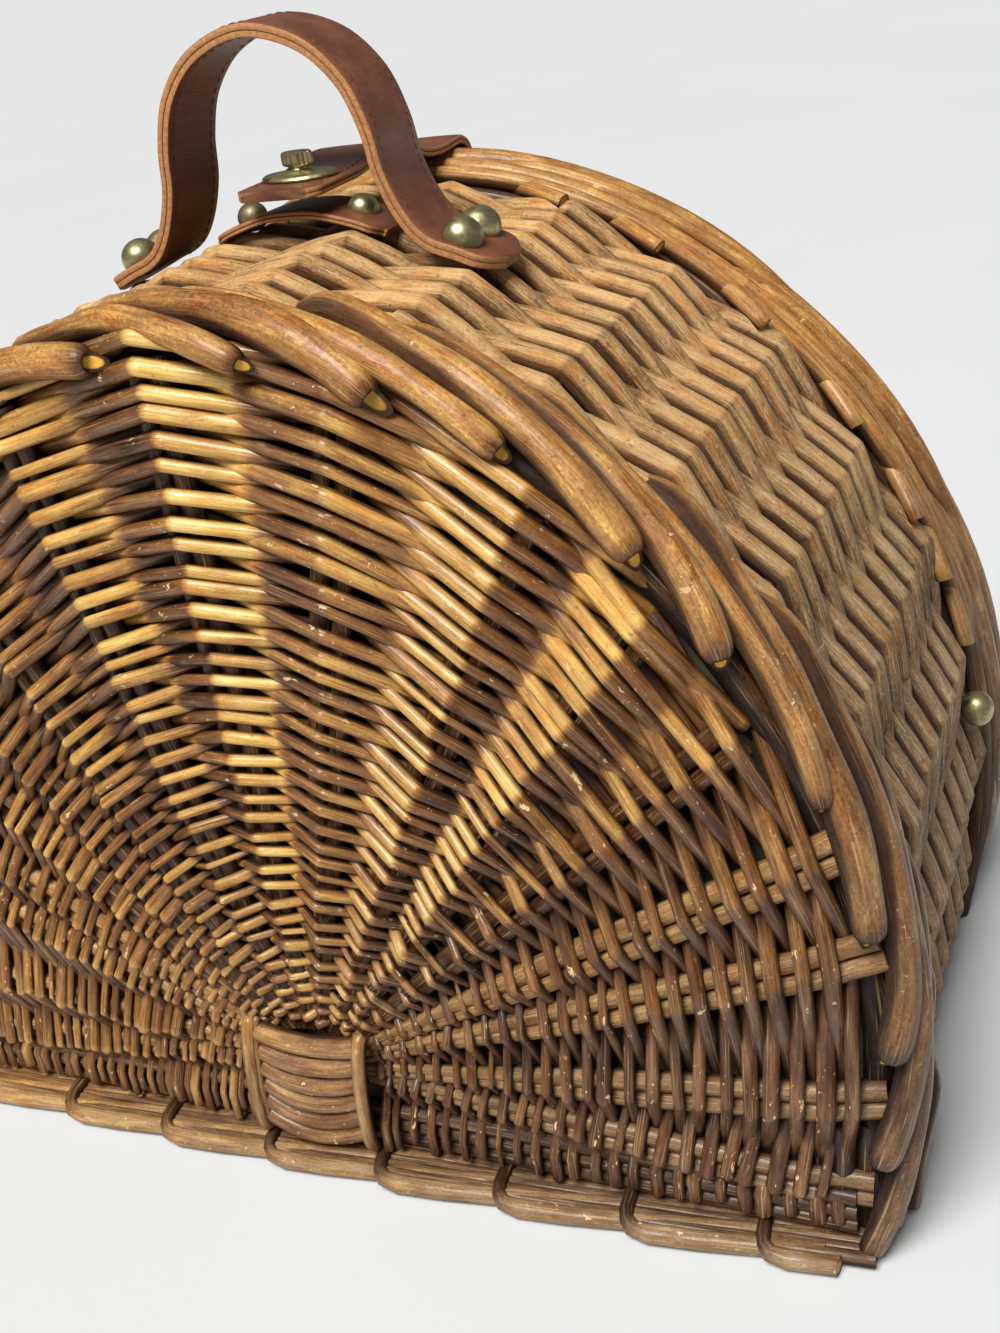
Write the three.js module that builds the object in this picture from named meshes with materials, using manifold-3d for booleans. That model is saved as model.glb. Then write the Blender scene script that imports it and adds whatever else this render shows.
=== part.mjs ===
// Half-barrel wicker picnic basket: an arched case with a fan-woven front, and a D-shaped lid hinged at its foot.
// Millimetres, +Z up, the front faces -Y, and the origin is on the floor under the middle of the basket.
import * as THREE from 'three';
import { mergeVertices } from 'three/addons/utils/BufferGeometryUtils.js';
import loadManifold from 'manifold-3d';

const wasm = await loadManifold();
wasm.setup();

// Driving dimensions of the arch, measured over the crests of its border rods
const HALF_WIDTH = 196;
const BASE_HALF_WIDTH = 187;
const CROWN_Z = 297.4;
const SPRING_Z = 78.7;
const ARCH_POWER = 1.88;

// Depths along Y
const REACH_Y = 107.95;
const BARREL_FRONT_Y = -85.6;
const BARREL_REAR_Y = 74;
const FRONT_BACK_Y = -86;
const LID_INNER_Y = 90.3;

// Willow rods and how they lie under the crest of the arch
const GAP = 0.35;
const ROD_SIDES = 8;
const STAKE_PITCH = 43;
const RIDGE_DEPTH = 3.2;
const VALLEY_DEPTH = 4.6;
const WALL_INNER_DEPTH = 13.5;
const BASE_TOP_Z = 12.8;

// Front border: rods rolled round a core that runs along the rim
const BORDER_ROD_R = 3.65;
const BORDER_CORE_DEPTH = 14;
const BORDER_CORE_Y = -88;
const BORDER_ROLL_R = 10;
const BORDER_TURN = { start: -20, end: 112, perPitch: 46 };
const BORDER_FOOT_Z = 7.6;
const BORDER_LEAST_LENGTH = 25;

// Foot border along the front: rods come out under the panel and turn to the right
const FOOT_ROD_R = 3.3;
const FOOT_SHIFT_X = -2.3;
const FOOT_COUNT = 8;
const FOOT_RAIL_R = 2.6;

// Fan of the front panel: angles of its stakes about the hub, on the right side up to the upright one
const HUB_RISE = 21.85;
const FAN_ANGLES = [-4, 7, 22, 31, 42.5, 52.5, 63, 76.5];
const HUB = { x: -3.3, halfLength: 18.2, rods: 6, rodPitch: 6.5, bandR: 2.4, bow: 2 };

// Leather
const HANDLE = { y: -5, width: 27.5, thick: 4, footFrom: 51, footTo: 72, clip: 5 };
const HASP = { width: 28, thick: 3, topZ: 305 };
const TAB = { width: 26, thick: 2.5, middleZ: 300.2 };

// Brass
const HANDLE_RIVET = { s: 57.5, spacing: 13.6, r: 6.2, h: 7 };
const TAB_RIVET = { x: 19.6, r: 5.4, h: 5.5 };
const SIDE_RIVET = { z: 102, y: 60, r: 6.2, h: 6 };

// Hinge at the foot of the lid
const HINGE = { y: 98, z: 19, rodR: 3.4, halfLength: 176, loopX: 95, loopWidth: 10 };
const REAR_ROD_Y = 83;

const FINISHES = {
  varnishedWillow: { color: 0x8a5422, roughness: 0.38, metalness: 0 },
  dryWillow: { color: 0x9a7a52, roughness: 0.75, metalness: 0 },
  borderWillow: { color: 0x83481f, roughness: 0.45, metalness: 0 },
  leather: { color: 0x6e2f1b, roughness: 0.5, metalness: 0 },
  brass: { color: 0x8f8450, roughness: 0.35, metalness: 1 },
  oliveCloth: { color: 0x6b6a34, roughness: 0.95, metalness: 0 },
};

const radians = THREE.MathUtils.degToRad;

// Half of the arch's outline, from the crown down to the right foot, with the length run to each point
function halfOutline() {
  const points = [];
  const arcSteps = 200;
  const legSteps = 30;
  for (let i = 0; i <= arcSteps; i++) {
    const angle = (Math.PI / 2) * (1 - i / arcSteps);
    const x = HALF_WIDTH * Math.cos(angle) ** (2 / ARCH_POWER);
    const z = SPRING_Z + (CROWN_Z - SPRING_Z) * Math.sin(angle) ** (2 / ARCH_POWER);
    points.push(new THREE.Vector2(x, z));
  }
  for (let i = 1; i <= legSteps; i++) {
    const z = SPRING_Z * (1 - i / legSteps);
    const lean = (HALF_WIDTH - BASE_HALF_WIDTH) * Math.sin((z / SPRING_Z) * (Math.PI / 2));
    points.push(new THREE.Vector2(BASE_HALF_WIDTH + lean, z));
  }
  points[0].x = 0;
  const run = [0];
  for (let i = 1; i < points.length; i++) run.push(run[i - 1] + points[i].distanceTo(points[i - 1]));
  return { points, run, length: run[run.length - 1] };
}

const OUTLINE = halfOutline();

// Point of the outline at a length s from the crown, to the right where s is positive
function outlineAt(s) {
  const reach = Math.min(Math.abs(s), OUTLINE.length);
  let i = 1;
  while (OUTLINE.run[i] < reach && i < OUTLINE.run.length - 1) i++;
  const share = (reach - OUTLINE.run[i - 1]) / (OUTLINE.run[i] - OUTLINE.run[i - 1]);
  const point = OUTLINE.points[i - 1].clone().lerp(OUTLINE.points[i], share);
  return new THREE.Vector2(Math.sign(s) * point.x, point.y);
}

// Outward direction of the outline at s
function outwardAt(s) {
  const reach = 5;
  const held = THREE.MathUtils.clamp(s, reach - OUTLINE.length, OUTLINE.length - reach);
  const along = outlineAt(held + reach).sub(outlineAt(held - reach)).normalize();
  return new THREE.Vector2(-along.y, along.x);
}

// Point at a depth under the arch's crest line, in the X-Z plane
function underArch(s, depth) {
  return outlineAt(s).addScaledVector(outwardAt(s), -depth);
}

function onArch(s, depth, y) {
  const point = underArch(s, depth);
  return new THREE.Vector3(point.x, y, point.y);
}

// Depth of the barrel's ridged surface at s: a ridge at each stake and a valley between two
function wallDepth(s) {
  const share = Math.abs(s / STAKE_PITCH) % 1;
  return THREE.MathUtils.lerp(VALLEY_DEPTH, RIDGE_DEPTH, 1 - Math.abs(2 * share - 1));
}

// Length from the crown at which the leg comes down to a height
function lengthAtHeight(z) {
  let i = OUTLINE.points.length - 1;
  while (OUTLINE.points[i - 1].y < z) i--;
  const share = (z - OUTLINE.points[i].y) / (OUTLINE.points[i - 1].y - OUTLINE.points[i].y);
  return OUTLINE.run[i] + share * (OUTLINE.run[i - 1] - OUTLINE.run[i]);
}

// Welded copy of a geometry with its faces pointing out
function closedBody(geometry) {
  const bare = geometry.clone();
  bare.deleteAttribute('normal');
  bare.deleteAttribute('uv');
  const welded = mergeVertices(bare, 1e-4);
  const index = welded.index.array;
  const corner = [new THREE.Vector3(), new THREE.Vector3(), new THREE.Vector3()];
  let volume = 0;
  for (let i = 0; i < index.length; i += 3) {
    for (let j = 0; j < 3; j++) corner[j].fromBufferAttribute(welded.attributes.position, index[i + j]);
    volume += corner[0].dot(corner[1].cross(corner[2])) / 6;
  }
  if (volume < 0) {
    for (let i = 0; i < index.length; i += 3) [index[i], index[i + 1]] = [index[i + 1], index[i]];
  }
  welded.computeVertexNormals();
  return welded;
}

// Solid through a row of sections with the same number of corners, capped by the flat outline of a section
function loft(sections, flat) {
  const count = flat.length;
  const positions = sections.flat().flatMap((corner) => corner.toArray());
  const index = [];
  for (let i = 0; i < sections.length - 1; i++) {
    for (let j = 0; j < count; j++) {
      const a = i * count + j;
      const b = i * count + ((j + 1) % count);
      index.push(a, b, a + count, b, b + count, a + count);
    }
  }
  const last = (sections.length - 1) * count;
  const clockwise = THREE.ShapeUtils.isClockWise(flat);
  for (const triangle of THREE.ShapeUtils.triangulateShape(flat, [])) {
    const [a, b, c] = clockwise ? triangle.reverse() : triangle;
    index.push(a, c, b, last + a, last + b, last + c);
  }
  const geometry = new THREE.BufferGeometry();
  geometry.setAttribute('position', new THREE.Float32BufferAttribute(positions, 3));
  geometry.setIndex(index);
  return closedBody(geometry);
}

// Willow rod along a smooth line of points
function rod(points, radius, steps, sides = ROD_SIDES) {
  const section = new THREE.Shape();
  for (let i = 0; i < sides; i++) {
    const angle = (2 * Math.PI * i) / sides;
    const corner = [radius * Math.cos(angle), radius * Math.sin(angle)];
    if (i === 0) section.moveTo(...corner);
    else section.lineTo(...corner);
  }
  const extrudePath = new THREE.CatmullRomCurve3(points, false, 'centripetal');
  return closedBody(new THREE.ExtrudeGeometry(section, { steps, extrudePath, bevelEnabled: false }));
}

// Arched rod that runs from foot to foot at one depth and one Y
function archedRod(depth, y, radius, footZ) {
  const end = lengthAtHeight(footZ);
  const steps = 28;
  const points = [];
  for (let i = 0; i <= steps; i++) points.push(onArch(end * ((2 * i) / steps - 1), depth, y));
  return rod(points, radius, steps);
}

// Leather strap of rectangular section along a flat path; side is the direction of its width
function strap(path, widths, thick, toSpace) {
  const sections = path.map((point, i) => {
    const before = path[Math.max(i - 1, 0)];
    const after = path[Math.min(i + 1, path.length - 1)];
    const along = after.clone().sub(before).normalize();
    const lift = new THREE.Vector2(-along.y, along.x).multiplyScalar(thick / 2);
    const top = point.clone().add(lift);
    const under = point.clone().sub(lift);
    const half = widths[i] / 2;
    return [toSpace(top, -half), toSpace(top, half), toSpace(under, half), toSpace(under, -half)];
  });
  const flat = [[0, 0], [1, 0], [1, -1], [0, -1]].map(([x, y]) => new THREE.Vector2(x, y));
  return loft(sections, flat);
}

// Brass dome with a flat underside on z = 0
function dome(radius, height) {
  const profile = [new THREE.Vector2(0, 0), new THREE.Vector2(radius * 0.9, 0)];
  const steps = 4;
  for (let i = 0; i <= steps; i++) {
    const angle = (Math.PI / 2) * (i / steps);
    profile.push(new THREE.Vector2(radius * Math.cos(angle), height * (0.22 + 0.78 * Math.sin(angle))));
  }
  profile[profile.length - 1].x = 0;
  return closedBody(new THREE.LatheGeometry(profile, 12).rotateX(Math.PI / 2));
}

function joined(first, second) {
  const solids = [first, second].map((geometry) => new wasm.Manifold(new wasm.Mesh({
    numProp: 3,
    vertProperties: new Float32Array(geometry.attributes.position.array),
    triVerts: new Uint32Array(geometry.index.array),
  })));
  const mesh = solids[0].add(solids[1]).getMesh();
  const geometry = new THREE.BufferGeometry();
  geometry.setAttribute('position', new THREE.Float32BufferAttribute(mesh.vertProperties, 3));
  geometry.setIndex([...mesh.triVerts]);
  return closedBody(geometry);
}

function addPiece(group, name, geometry, finish) {
  const mesh = new THREE.Mesh(geometry, new THREE.MeshStandardMaterial(FINISHES[finish]));
  mesh.name = name;
  group.add(mesh);
  return mesh;
}

// D outline at a depth under the arch and above a floor line, from the right foot over the crown to the left
function dOutline(depth, floorZ, steps = 44) {
  const end = lengthAtHeight(floorZ);
  const points = [];
  for (let i = 0; i <= steps; i++) points.push(underArch(end * (1 - (2 * i) / steps), depth));
  points[0].y = floorZ;
  points[steps].y = floorZ;
  return points;
}

// Distance from the hub to the D outline along a ray
function rayLength(outline, hubZ, angle) {
  const ray = new THREE.Vector2(Math.cos(angle), Math.sin(angle));
  let longest = 0;
  outline.forEach((start, i) => {
    const from = start.clone().sub(new THREE.Vector2(0, hubZ));
    const edge = outline[(i + 1) % outline.length].clone().sub(start);
    const across = ray.cross(edge);
    if (Math.abs(across) < 1e-9) return;
    const reach = from.cross(edge) / across;
    const share = from.cross(ray) / across;
    if (share >= -1e-6 && share <= 1 + 1e-6) longest = Math.max(longest, reach);
  });
  return longest;
}

// Fan-woven wall: rings of points on rays from the hub. A ring's row gives how far it lies inside the edge,
// the greatest share of the ray that this may take, its y, and how far it sinks between two stakes.
function fanWall(depth, floorZ, backY, rings, middleY) {
  const outline = dOutline(depth, floorZ);
  const hubZ = floorZ + HUB_RISE;
  const right = FAN_ANGLES.map(radians);
  const stakes = [...right, Math.PI / 2, ...right.map((angle) => Math.PI - angle).reverse()];
  const rays = [];
  stakes.forEach((angle, i) => {
    rays.push({ angle, sink: 0 });
    if (i < stakes.length - 1) rays.push({ angle: (angle + stakes[i + 1]) / 2, sink: 1 });
  });
  const corner = Math.atan2(-HUB_RISE, outline[0].x);
  const footAngles = [-Math.PI - corner, radians(-150), radians(-110), radians(-70), radians(-30), corner];
  footAngles.forEach((angle) => rays.push({ angle: angle + 2 * Math.PI, sink: 0 }));
  const front = backY < middleY ? 1 : -1;
  const positions = [0, backY, hubZ, 0, middleY, hubZ];
  const table = [{ inset: 0, share: 0, y: backY, sink: 0 }, ...rings];
  table.forEach((ring) => rays.forEach((ray) => {
    const full = rayLength(outline, hubZ, ray.angle);
    const reach = full - Math.min(ring.inset, ring.share * full);
    const y = ring.y - front * ring.sink * ray.sink;
    positions.push(reach * Math.cos(ray.angle), y, hubZ + reach * Math.sin(ray.angle));
  }));
  const index = [];
  const count = rays.length;
  const lastRing = 2 + (table.length - 1) * count;
  for (let j = 0; j < count; j++) {
    const next = (j + 1) % count;
    index.push(0, 2 + next, 2 + j, 1, lastRing + j, lastRing + next);
    for (let i = 0; i < table.length - 1; i++) {
      const a = 2 + i * count + j;
      const b = 2 + i * count + next;
      index.push(a, b, a + count, b, b + count, a + count);
    }
  }
  const geometry = new THREE.BufferGeometry();
  geometry.setAttribute('position', new THREE.Float32BufferAttribute(positions, 3));
  geometry.setIndex(index);
  return closedBody(geometry);
}

// Stacked rods at the foot of the fan, seen as one ribbed block that bows out at its middle
function hubBlock(floorZ, backY, faceY) {
  const front = Math.sign(faceY - backY);
  const foot = floorZ + HUB_RISE - (HUB.rods * HUB.rodPitch) / 2;
  const flat = [new THREE.Vector2(backY, foot), new THREE.Vector2(backY, foot + HUB.rods * HUB.rodPitch)];
  const round = [[1, 0.35], [0.78, 0.85], [0.5, 1], [0.22, 0.85], [0, 0.35]];
  for (let i = HUB.rods - 1; i >= 0; i--) {
    for (const [share, rise] of round.slice(i === HUB.rods - 1 ? 0 : 1)) {
      const y = THREE.MathUtils.lerp(backY, faceY, 0.6 + 0.4 * rise);
      flat.push(new THREE.Vector2(y, foot + (i + share) * HUB.rodPitch));
    }
  }
  const sections = [-1, -0.5, 0, 0.5, 1].map((share) => flat.map((corner, i) => {
    const bow = i < 2 ? 0 : front * HUB.bow * (1 - share * share);
    return new THREE.Vector3(HUB.x + share * HUB.halfLength, corner.x + bow, corner.y);
  }));
  return loft(sections, flat);
}

// Upright band beside the hub's rods
function hubBand(side) {
  const x = HUB.x + side * (HUB.halfLength + HUB.bandR + GAP);
  const line = [[-99.9, 57], [-103.6, 54], [-105.2, 47], [-105.4, 35], [-105.2, 23], [-103.6, 17], [-99.9, 15.4]];
  return rod(line.map(([y, z]) => new THREE.Vector3(x, y, z)), HUB.bandR, 10);
}

// Arched wall with a ridge at each stake and a thinner edge under the front border
function barrelWall() {
  const half = OUTLINE.length;
  const stations = [];
  for (let s = -9 * STAKE_PITCH; s <= 9 * STAKE_PITCH + 1; s += STAKE_PITCH / 2) stations.push(s);
  stations[0] = -half;
  stations[stations.length - 1] = half;
  const stepY = BORDER_CORE_Y + 8.5;
  const edgeDepth = 8.6;
  const sections = stations.map((s) => {
    const outer = wallDepth(s);
    const flat = [
      [outer, stepY], [outer, BARREL_REAR_Y], [WALL_INNER_DEPTH, BARREL_REAR_Y],
      [WALL_INNER_DEPTH, BARREL_FRONT_Y], [edgeDepth, BARREL_FRONT_Y], [edgeDepth, stepY],
    ];
    return flat.map(([depth, y]) => new THREE.Vector2(depth, y));
  });
  const placed = sections.map((flat, i) => flat.map(({ x, y }) => {
    const corner = onArch(stations[i], x, y);
    if (i === 0 || i === stations.length - 1) corner.z = 0;
    return corner;
  }));
  return loft(placed, sections[0]);
}

// One border rod: it starts on the barrel at its stake and rolls over the rim to a tip on the front
function borderRod(startS) {
  const span = (BORDER_TURN.end - BORDER_TURN.start) / BORDER_TURN.perPitch;
  const foot = lengthAtHeight(BORDER_FOOT_Z);
  const from = Math.max(startS, -foot);
  const to = Math.min(startS + span * STAKE_PITCH, foot);
  if (to - from < BORDER_LEAST_LENGTH) return null;
  const steps = Math.max(4, Math.round((to - from) / 15));
  const points = [];
  for (let i = 0; i <= steps; i++) {
    const s = from + ((to - from) * i) / steps;
    const turn = radians(BORDER_TURN.start + ((s - startS) / STAKE_PITCH) * BORDER_TURN.perPitch);
    const depth = BORDER_CORE_DEPTH - BORDER_ROLL_R * Math.cos(turn);
    points.push(onArch(s, depth, BORDER_CORE_Y - BORDER_ROLL_R * Math.sin(turn)));
  }
  return rod(points, BORDER_ROD_R, steps);
}

// One rod of the foot border, from under the panel to the next rod's corner
function footRod(cornerX) {
  const outY = FOOT_ROD_R - REACH_Y;
  const end = cornerX + STAKE_PITCH - FOOT_ROD_R - GAP;
  const line = [
    [cornerX, -88.6, 9.4], [cornerX, -96.5, 9.3], [cornerX + 1.5, -101.6, 6.9], [cornerX + 6, outY, 4],
    [cornerX + 14, outY, 3.6], [end, outY, 3.6],
  ];
  return rod(line.map((point) => new THREE.Vector3(...point)), FOOT_ROD_R, 12);
}

// Leather handle: an upright loop whose two feet lie on the barrel
function handleStrap() {
  const seat = RIDGE_DEPTH - GAP - HANDLE.thick / 2;
  const feet = [HANDLE.footTo, 65, 58, HANDLE.footFrom].map((s) => underArch(s, seat));
  const loop = [[44.6, 291.6], [40, 299], [36.4, 309], [34.4, 321.5], [29, 335], [17.5, 346]];
  const right = [...feet, ...loop.map(([x, z]) => new THREE.Vector2(x, z))];
  const left = right.map((point) => new THREE.Vector2(-point.x, point.y)).reverse();
  const line = new THREE.SplineCurve([...right, new THREE.Vector2(0, 351), ...left]);
  const path = line.getSpacedPoints(46);
  const last = path.length - 1;
  const widths = path.map((_, i) => (i === 0 || i === last ? HANDLE.width - 2 * HANDLE.clip : HANDLE.width));
  return strap(path, widths, HANDLE.thick, (point, side) => new THREE.Vector3(point.x, HANDLE.y + side, point.y));
}

// Hasp: up the back of the lid, over its rim and forward above the crown to a tip with clipped corners
function haspStrap() {
  const backY = REACH_Y - HASP.thick / 2;
  const line = new THREE.SplineCurve([
    [backY, 258], [backY, 274], [backY, 290], [104.7, 297.6], [98.5, 301.5], [84, 304.2], [50, 307],
    [20, 305.6], [11, HASP.topZ], [0, HASP.topZ], [-12, HASP.topZ], [-17.5, 304.6],
  ].map(([y, z]) => new THREE.Vector2(y, z)));
  const path = line.getSpacedPoints(40);
  const last = path.length - 1;
  const widths = path.map((_, i) => (i === last ? HASP.width - 6 : HASP.width));
  return strap(path, widths, HASP.thick, (point, side) => new THREE.Vector3(side, point.x, point.y));
}

// Leather bridge under the hasp: straight stretches, so that each rivet sits on a flat one
const TAB_SLOPE = [[32.5, 291.4], [26.5, 292.9], [13, 297.6], [5, TAB.middleZ]];

function catchTab() {
  const right = TAB_SLOPE.map(([x, z]) => new THREE.Vector2(x, z));
  const left = right.map((point) => new THREE.Vector2(-point.x, point.y)).reverse();
  const path = [...right, ...left];
  const widths = path.map(() => TAB.width);
  return strap(path, widths, TAB.thick, (point, side) => new THREE.Vector3(point.x, side, point.y));
}

// Ring round the lid's rod and the rod at the foot of the mouth
function hingeLoop() {
  const inner = HINGE.rodR + GAP;
  const outer = inner + 1.6;
  const stadium = (target, radius) => {
    target.absarc(HINGE.y, HINGE.z, radius, -Math.PI / 2, Math.PI / 2);
    target.absarc(REAR_ROD_Y, HINGE.z, radius, Math.PI / 2, (3 * Math.PI) / 2);
    return target;
  };
  const shape = stadium(new THREE.Shape(), outer);
  shape.holes.push(stadium(new THREE.Path(), inner));
  const geometry = new THREE.ExtrudeGeometry(shape, { depth: HINGE.loopWidth, bevelEnabled: false, curveSegments: 8 });
  const turned = new THREE.Matrix4().makeBasis(
    new THREE.Vector3(0, 1, 0), new THREE.Vector3(0, 0, 1), new THREE.Vector3(1, 0, 0));
  geometry.applyMatrix4(turned).translate(-HINGE.loopWidth / 2, 0, 0);
  return closedBody(geometry);
}

function straightRod(halfLength, y, z, radius) {
  const ends = [-halfLength, 0, halfLength].map((x) => new THREE.Vector3(x, y, z));
  return rod(ends, radius, 2, 12);
}

// Oval plate of the turn lock, domed a little
function haspPlate() {
  const profile = [[0, 0], [8.4, 0], [8.4, 0.6], [7.2, 1.05], [4.2, 1.25], [0, 1.25]];
  const points = profile.map(([r, z]) => new THREE.Vector2(r, z));
  return closedBody(new THREE.LatheGeometry(points, 20).rotateX(Math.PI / 2).scale(1.42, 1, 1));
}

// Thumb turn: a neck under a head with notched edges
function turnKnob() {
  const neckProfile = [[0, 0], [3.4, 0], [3.4, 0.7], [2.4, 1.2], [2.4, 3.2], [0, 3.2]];
  const neck = new THREE.LatheGeometry(neckProfile.map(([r, z]) => new THREE.Vector2(r, z)), 14).rotateX(Math.PI / 2);
  const outline = new THREE.Shape();
  const notches = 26;
  for (let i = 0; i < 2 * notches; i++) {
    const angle = (Math.PI * i) / notches;
    const depth = i % 2 === 0 ? 1 : 0.93;
    const corner = [5.2 * depth * Math.cos(angle), 3 * depth * Math.sin(angle)];
    if (i === 0) outline.moveTo(...corner);
    else outline.lineTo(...corner);
  }
  const head = new THREE.ExtrudeGeometry(outline, { depth: 3.2, bevelEnabled: false }).translate(0, 0, 2.4);
  return joined(closedBody(neck), closedBody(head));
}

function wovenBase() {
  const depth = BARREL_REAR_Y + GAP - BORDER_CORE_Y;
  const width = 2 * (BASE_HALF_WIDTH - WALL_INNER_DEPTH - GAP);
  const plate = new THREE.BoxGeometry(width, depth, BASE_TOP_Z);
  return closedBody(plate.translate(0, BORDER_CORE_Y + depth / 2, BASE_TOP_Z / 2));
}

// Cloth behind the front panel
function liningSheet() {
  const thick = 1.2;
  const outline = dOutline(WALL_INNER_DEPTH + 1, BASE_TOP_Z + GAP, 30);
  const sheet = new THREE.ExtrudeGeometry(new THREE.Shape(outline), { depth: thick, bevelEnabled: false });
  return closedBody(sheet.rotateX(Math.PI / 2).translate(0, FRONT_BACK_Y + GAP + thick, 0));
}

// Seat a dome on the arch at s, with its axis along the outward direction
function seatOnArch(mesh, s, depth, y) {
  const out = outwardAt(s);
  mesh.position.copy(onArch(s, depth, y));
  mesh.quaternion.setFromUnitVectors(new THREE.Vector3(0, 0, 1), new THREE.Vector3(out.x, 0, out.y));
}

const FRONT_FLOOR_Z = BASE_TOP_Z + GAP;
const FRONT_EDGE_DEPTH = 8.4;
const FRONT_RINGS = [
  { inset: 0, share: 0, y: -90, sink: 0 },
  { inset: 2.7, share: 0.08, y: -93.1, sink: 0 },
  { inset: 6.7, share: 0.18, y: -93.6, sink: 0 },
  { inset: 12.4, share: 0.3, y: -93.3, sink: 0 },
  { inset: 26, share: 0.42, y: -95.6, sink: 0.8 },
  { inset: 90, share: 0.6, y: -97, sink: 1.2 },
  { inset: 170, share: 0.78, y: -97.2, sink: 0.6 },
];

const LID_FLOOR_Z = HINGE.z + HINGE.rodR + 2.4;
const LID_EDGE_DEPTH = 8.6;
const LID_RINGS = [
  { inset: 0, share: 0, y: 96.5, sink: 0 },
  { inset: 10.6, share: 0.3, y: 96.7, sink: 0 },
  { inset: 26, share: 0.42, y: 99, sink: 0.8 },
  { inset: 90, share: 0.6, y: 100.2, sink: 1.2 },
  { inset: 170, share: 0.78, y: 100.4, sink: 0.6 },
];

const LID_HOOPS = [
  { depth: 4.4, y: 93.2 },
  { depth: 4, y: 100.8 },
  { depth: 11.8, y: 100.8 },
];
const MOUTH_RODS = [
  { depth: 5.6, y: 77.9 },
  { depth: 5, y: 85.2 },
];
const HOOP_R = 3.55;

function buildCase() {
  const group = new THREE.Group();
  const frontWall = fanWall(FRONT_EDGE_DEPTH, FRONT_FLOOR_Z, FRONT_BACK_Y, FRONT_RINGS, -97.2);
  addPiece(group, 'front_panel', frontWall, 'varnishedWillow');
  addPiece(group, 'fan_hub', hubBlock(FRONT_FLOOR_Z, -97.6, -104.2), 'varnishedWillow');
  addPiece(group, 'hub_band_left', hubBand(-1), 'varnishedWillow');
  addPiece(group, 'hub_band_right', hubBand(1), 'varnishedWillow');
  addPiece(group, 'barrel_wall', barrelWall(), 'dryWillow');
  addPiece(group, 'base_panel', wovenBase(), 'dryWillow');
  addPiece(group, 'lining_front', liningSheet(), 'oliveCloth');

  let number = 1;
  for (let stake = -11; stake <= 7; stake++) {
    const geometry = borderRod((stake + 0.5) * STAKE_PITCH);
    if (geometry) addPiece(group, `front_border_${String(number++).padStart(2, '0')}`, geometry, 'borderWillow');
  }
  for (let i = 0; i < FOOT_COUNT; i++) {
    const cornerX = FOOT_SHIFT_X + (i - (FOOT_COUNT - 1) / 2) * STAKE_PITCH;
    addPiece(group, `foot_rod_${i + 1}`, footRod(cornerX), 'borderWillow');
  }
  addPiece(group, 'foot_rail', straightRod(BASE_HALF_WIDTH - 1, -95.2, FOOT_RAIL_R + 0.4, FOOT_RAIL_R), 'borderWillow');
  MOUTH_RODS.forEach(({ depth, y }, i) => {
    addPiece(group, `mouth_rod_${i + 1}`, archedRod(depth, y, HOOP_R, 0.4), 'borderWillow');
  });
  addPiece(group, 'rear_base_rod', straightRod(HINGE.halfLength, REAR_ROD_Y, HINGE.z, HINGE.rodR), 'borderWillow');
  for (const [side, name] of [[-1, 'left'], [1, 'right']]) {
    addPiece(group, `hinge_loop_${name}`, hingeLoop(), 'borderWillow').position.x = side * HINGE.loopX;
  }

  addPiece(group, 'handle_strap', handleStrap(), 'leather');
  const footTop = RIDGE_DEPTH - 2 * GAP - HANDLE.thick;
  [[-1, -1], [-1, 1], [1, -1], [1, 1]].forEach(([sideX, sideY], i) => {
    const rivet = addPiece(group, `handle_rivet_${i + 1}`, dome(HANDLE_RIVET.r, HANDLE_RIVET.h), 'brass');
    seatOnArch(rivet, sideX * HANDLE_RIVET.s, footTop, HANDLE.y + (sideY * HANDLE_RIVET.spacing) / 2);
  });

  addPiece(group, 'catch_tab', catchTab(), 'leather');
  const [, low, high] = TAB_SLOPE;
  const tilt = Math.atan2(high[1] - low[1], low[0] - high[0]);
  const share = (low[0] - TAB_RIVET.x) / (low[0] - high[0]);
  const lift = TAB.thick / 2 + GAP;
  for (const [side, name] of [[-1, 'left'], [1, 'right']]) {
    const rivet = addPiece(group, `catch_rivet_${name}`, dome(TAB_RIVET.r, TAB_RIVET.h), 'brass');
    const z = THREE.MathUtils.lerp(low[1], high[1], share);
    rivet.position.set(side * (TAB_RIVET.x + lift * Math.sin(tilt)), 0, z + lift * Math.cos(tilt));
    rivet.rotation.y = side * tilt;
  }
  const studFoot = TAB.middleZ + TAB.thick / 2 + GAP;
  const studTop = HASP.topZ - HASP.thick / 2 - GAP;
  const stud = new THREE.CylinderGeometry(3, 3, studTop - studFoot, 14).rotateX(Math.PI / 2);
  addPiece(group, 'catch_stud', closedBody(stud), 'brass').position.z = (studFoot + studTop) / 2;

  const sideS = lengthAtHeight(SIDE_RIVET.z);
  for (const [side, name] of [[-1, 'left'], [1, 'right']]) {
    const rivet = addPiece(group, `side_rivet_${name}`, dome(SIDE_RIVET.r, SIDE_RIVET.h), 'brass');
    seatOnArch(rivet, side * sideS, wallDepth(sideS) - 2 * GAP, SIDE_RIVET.y);
  }
  return group;
}

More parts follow.
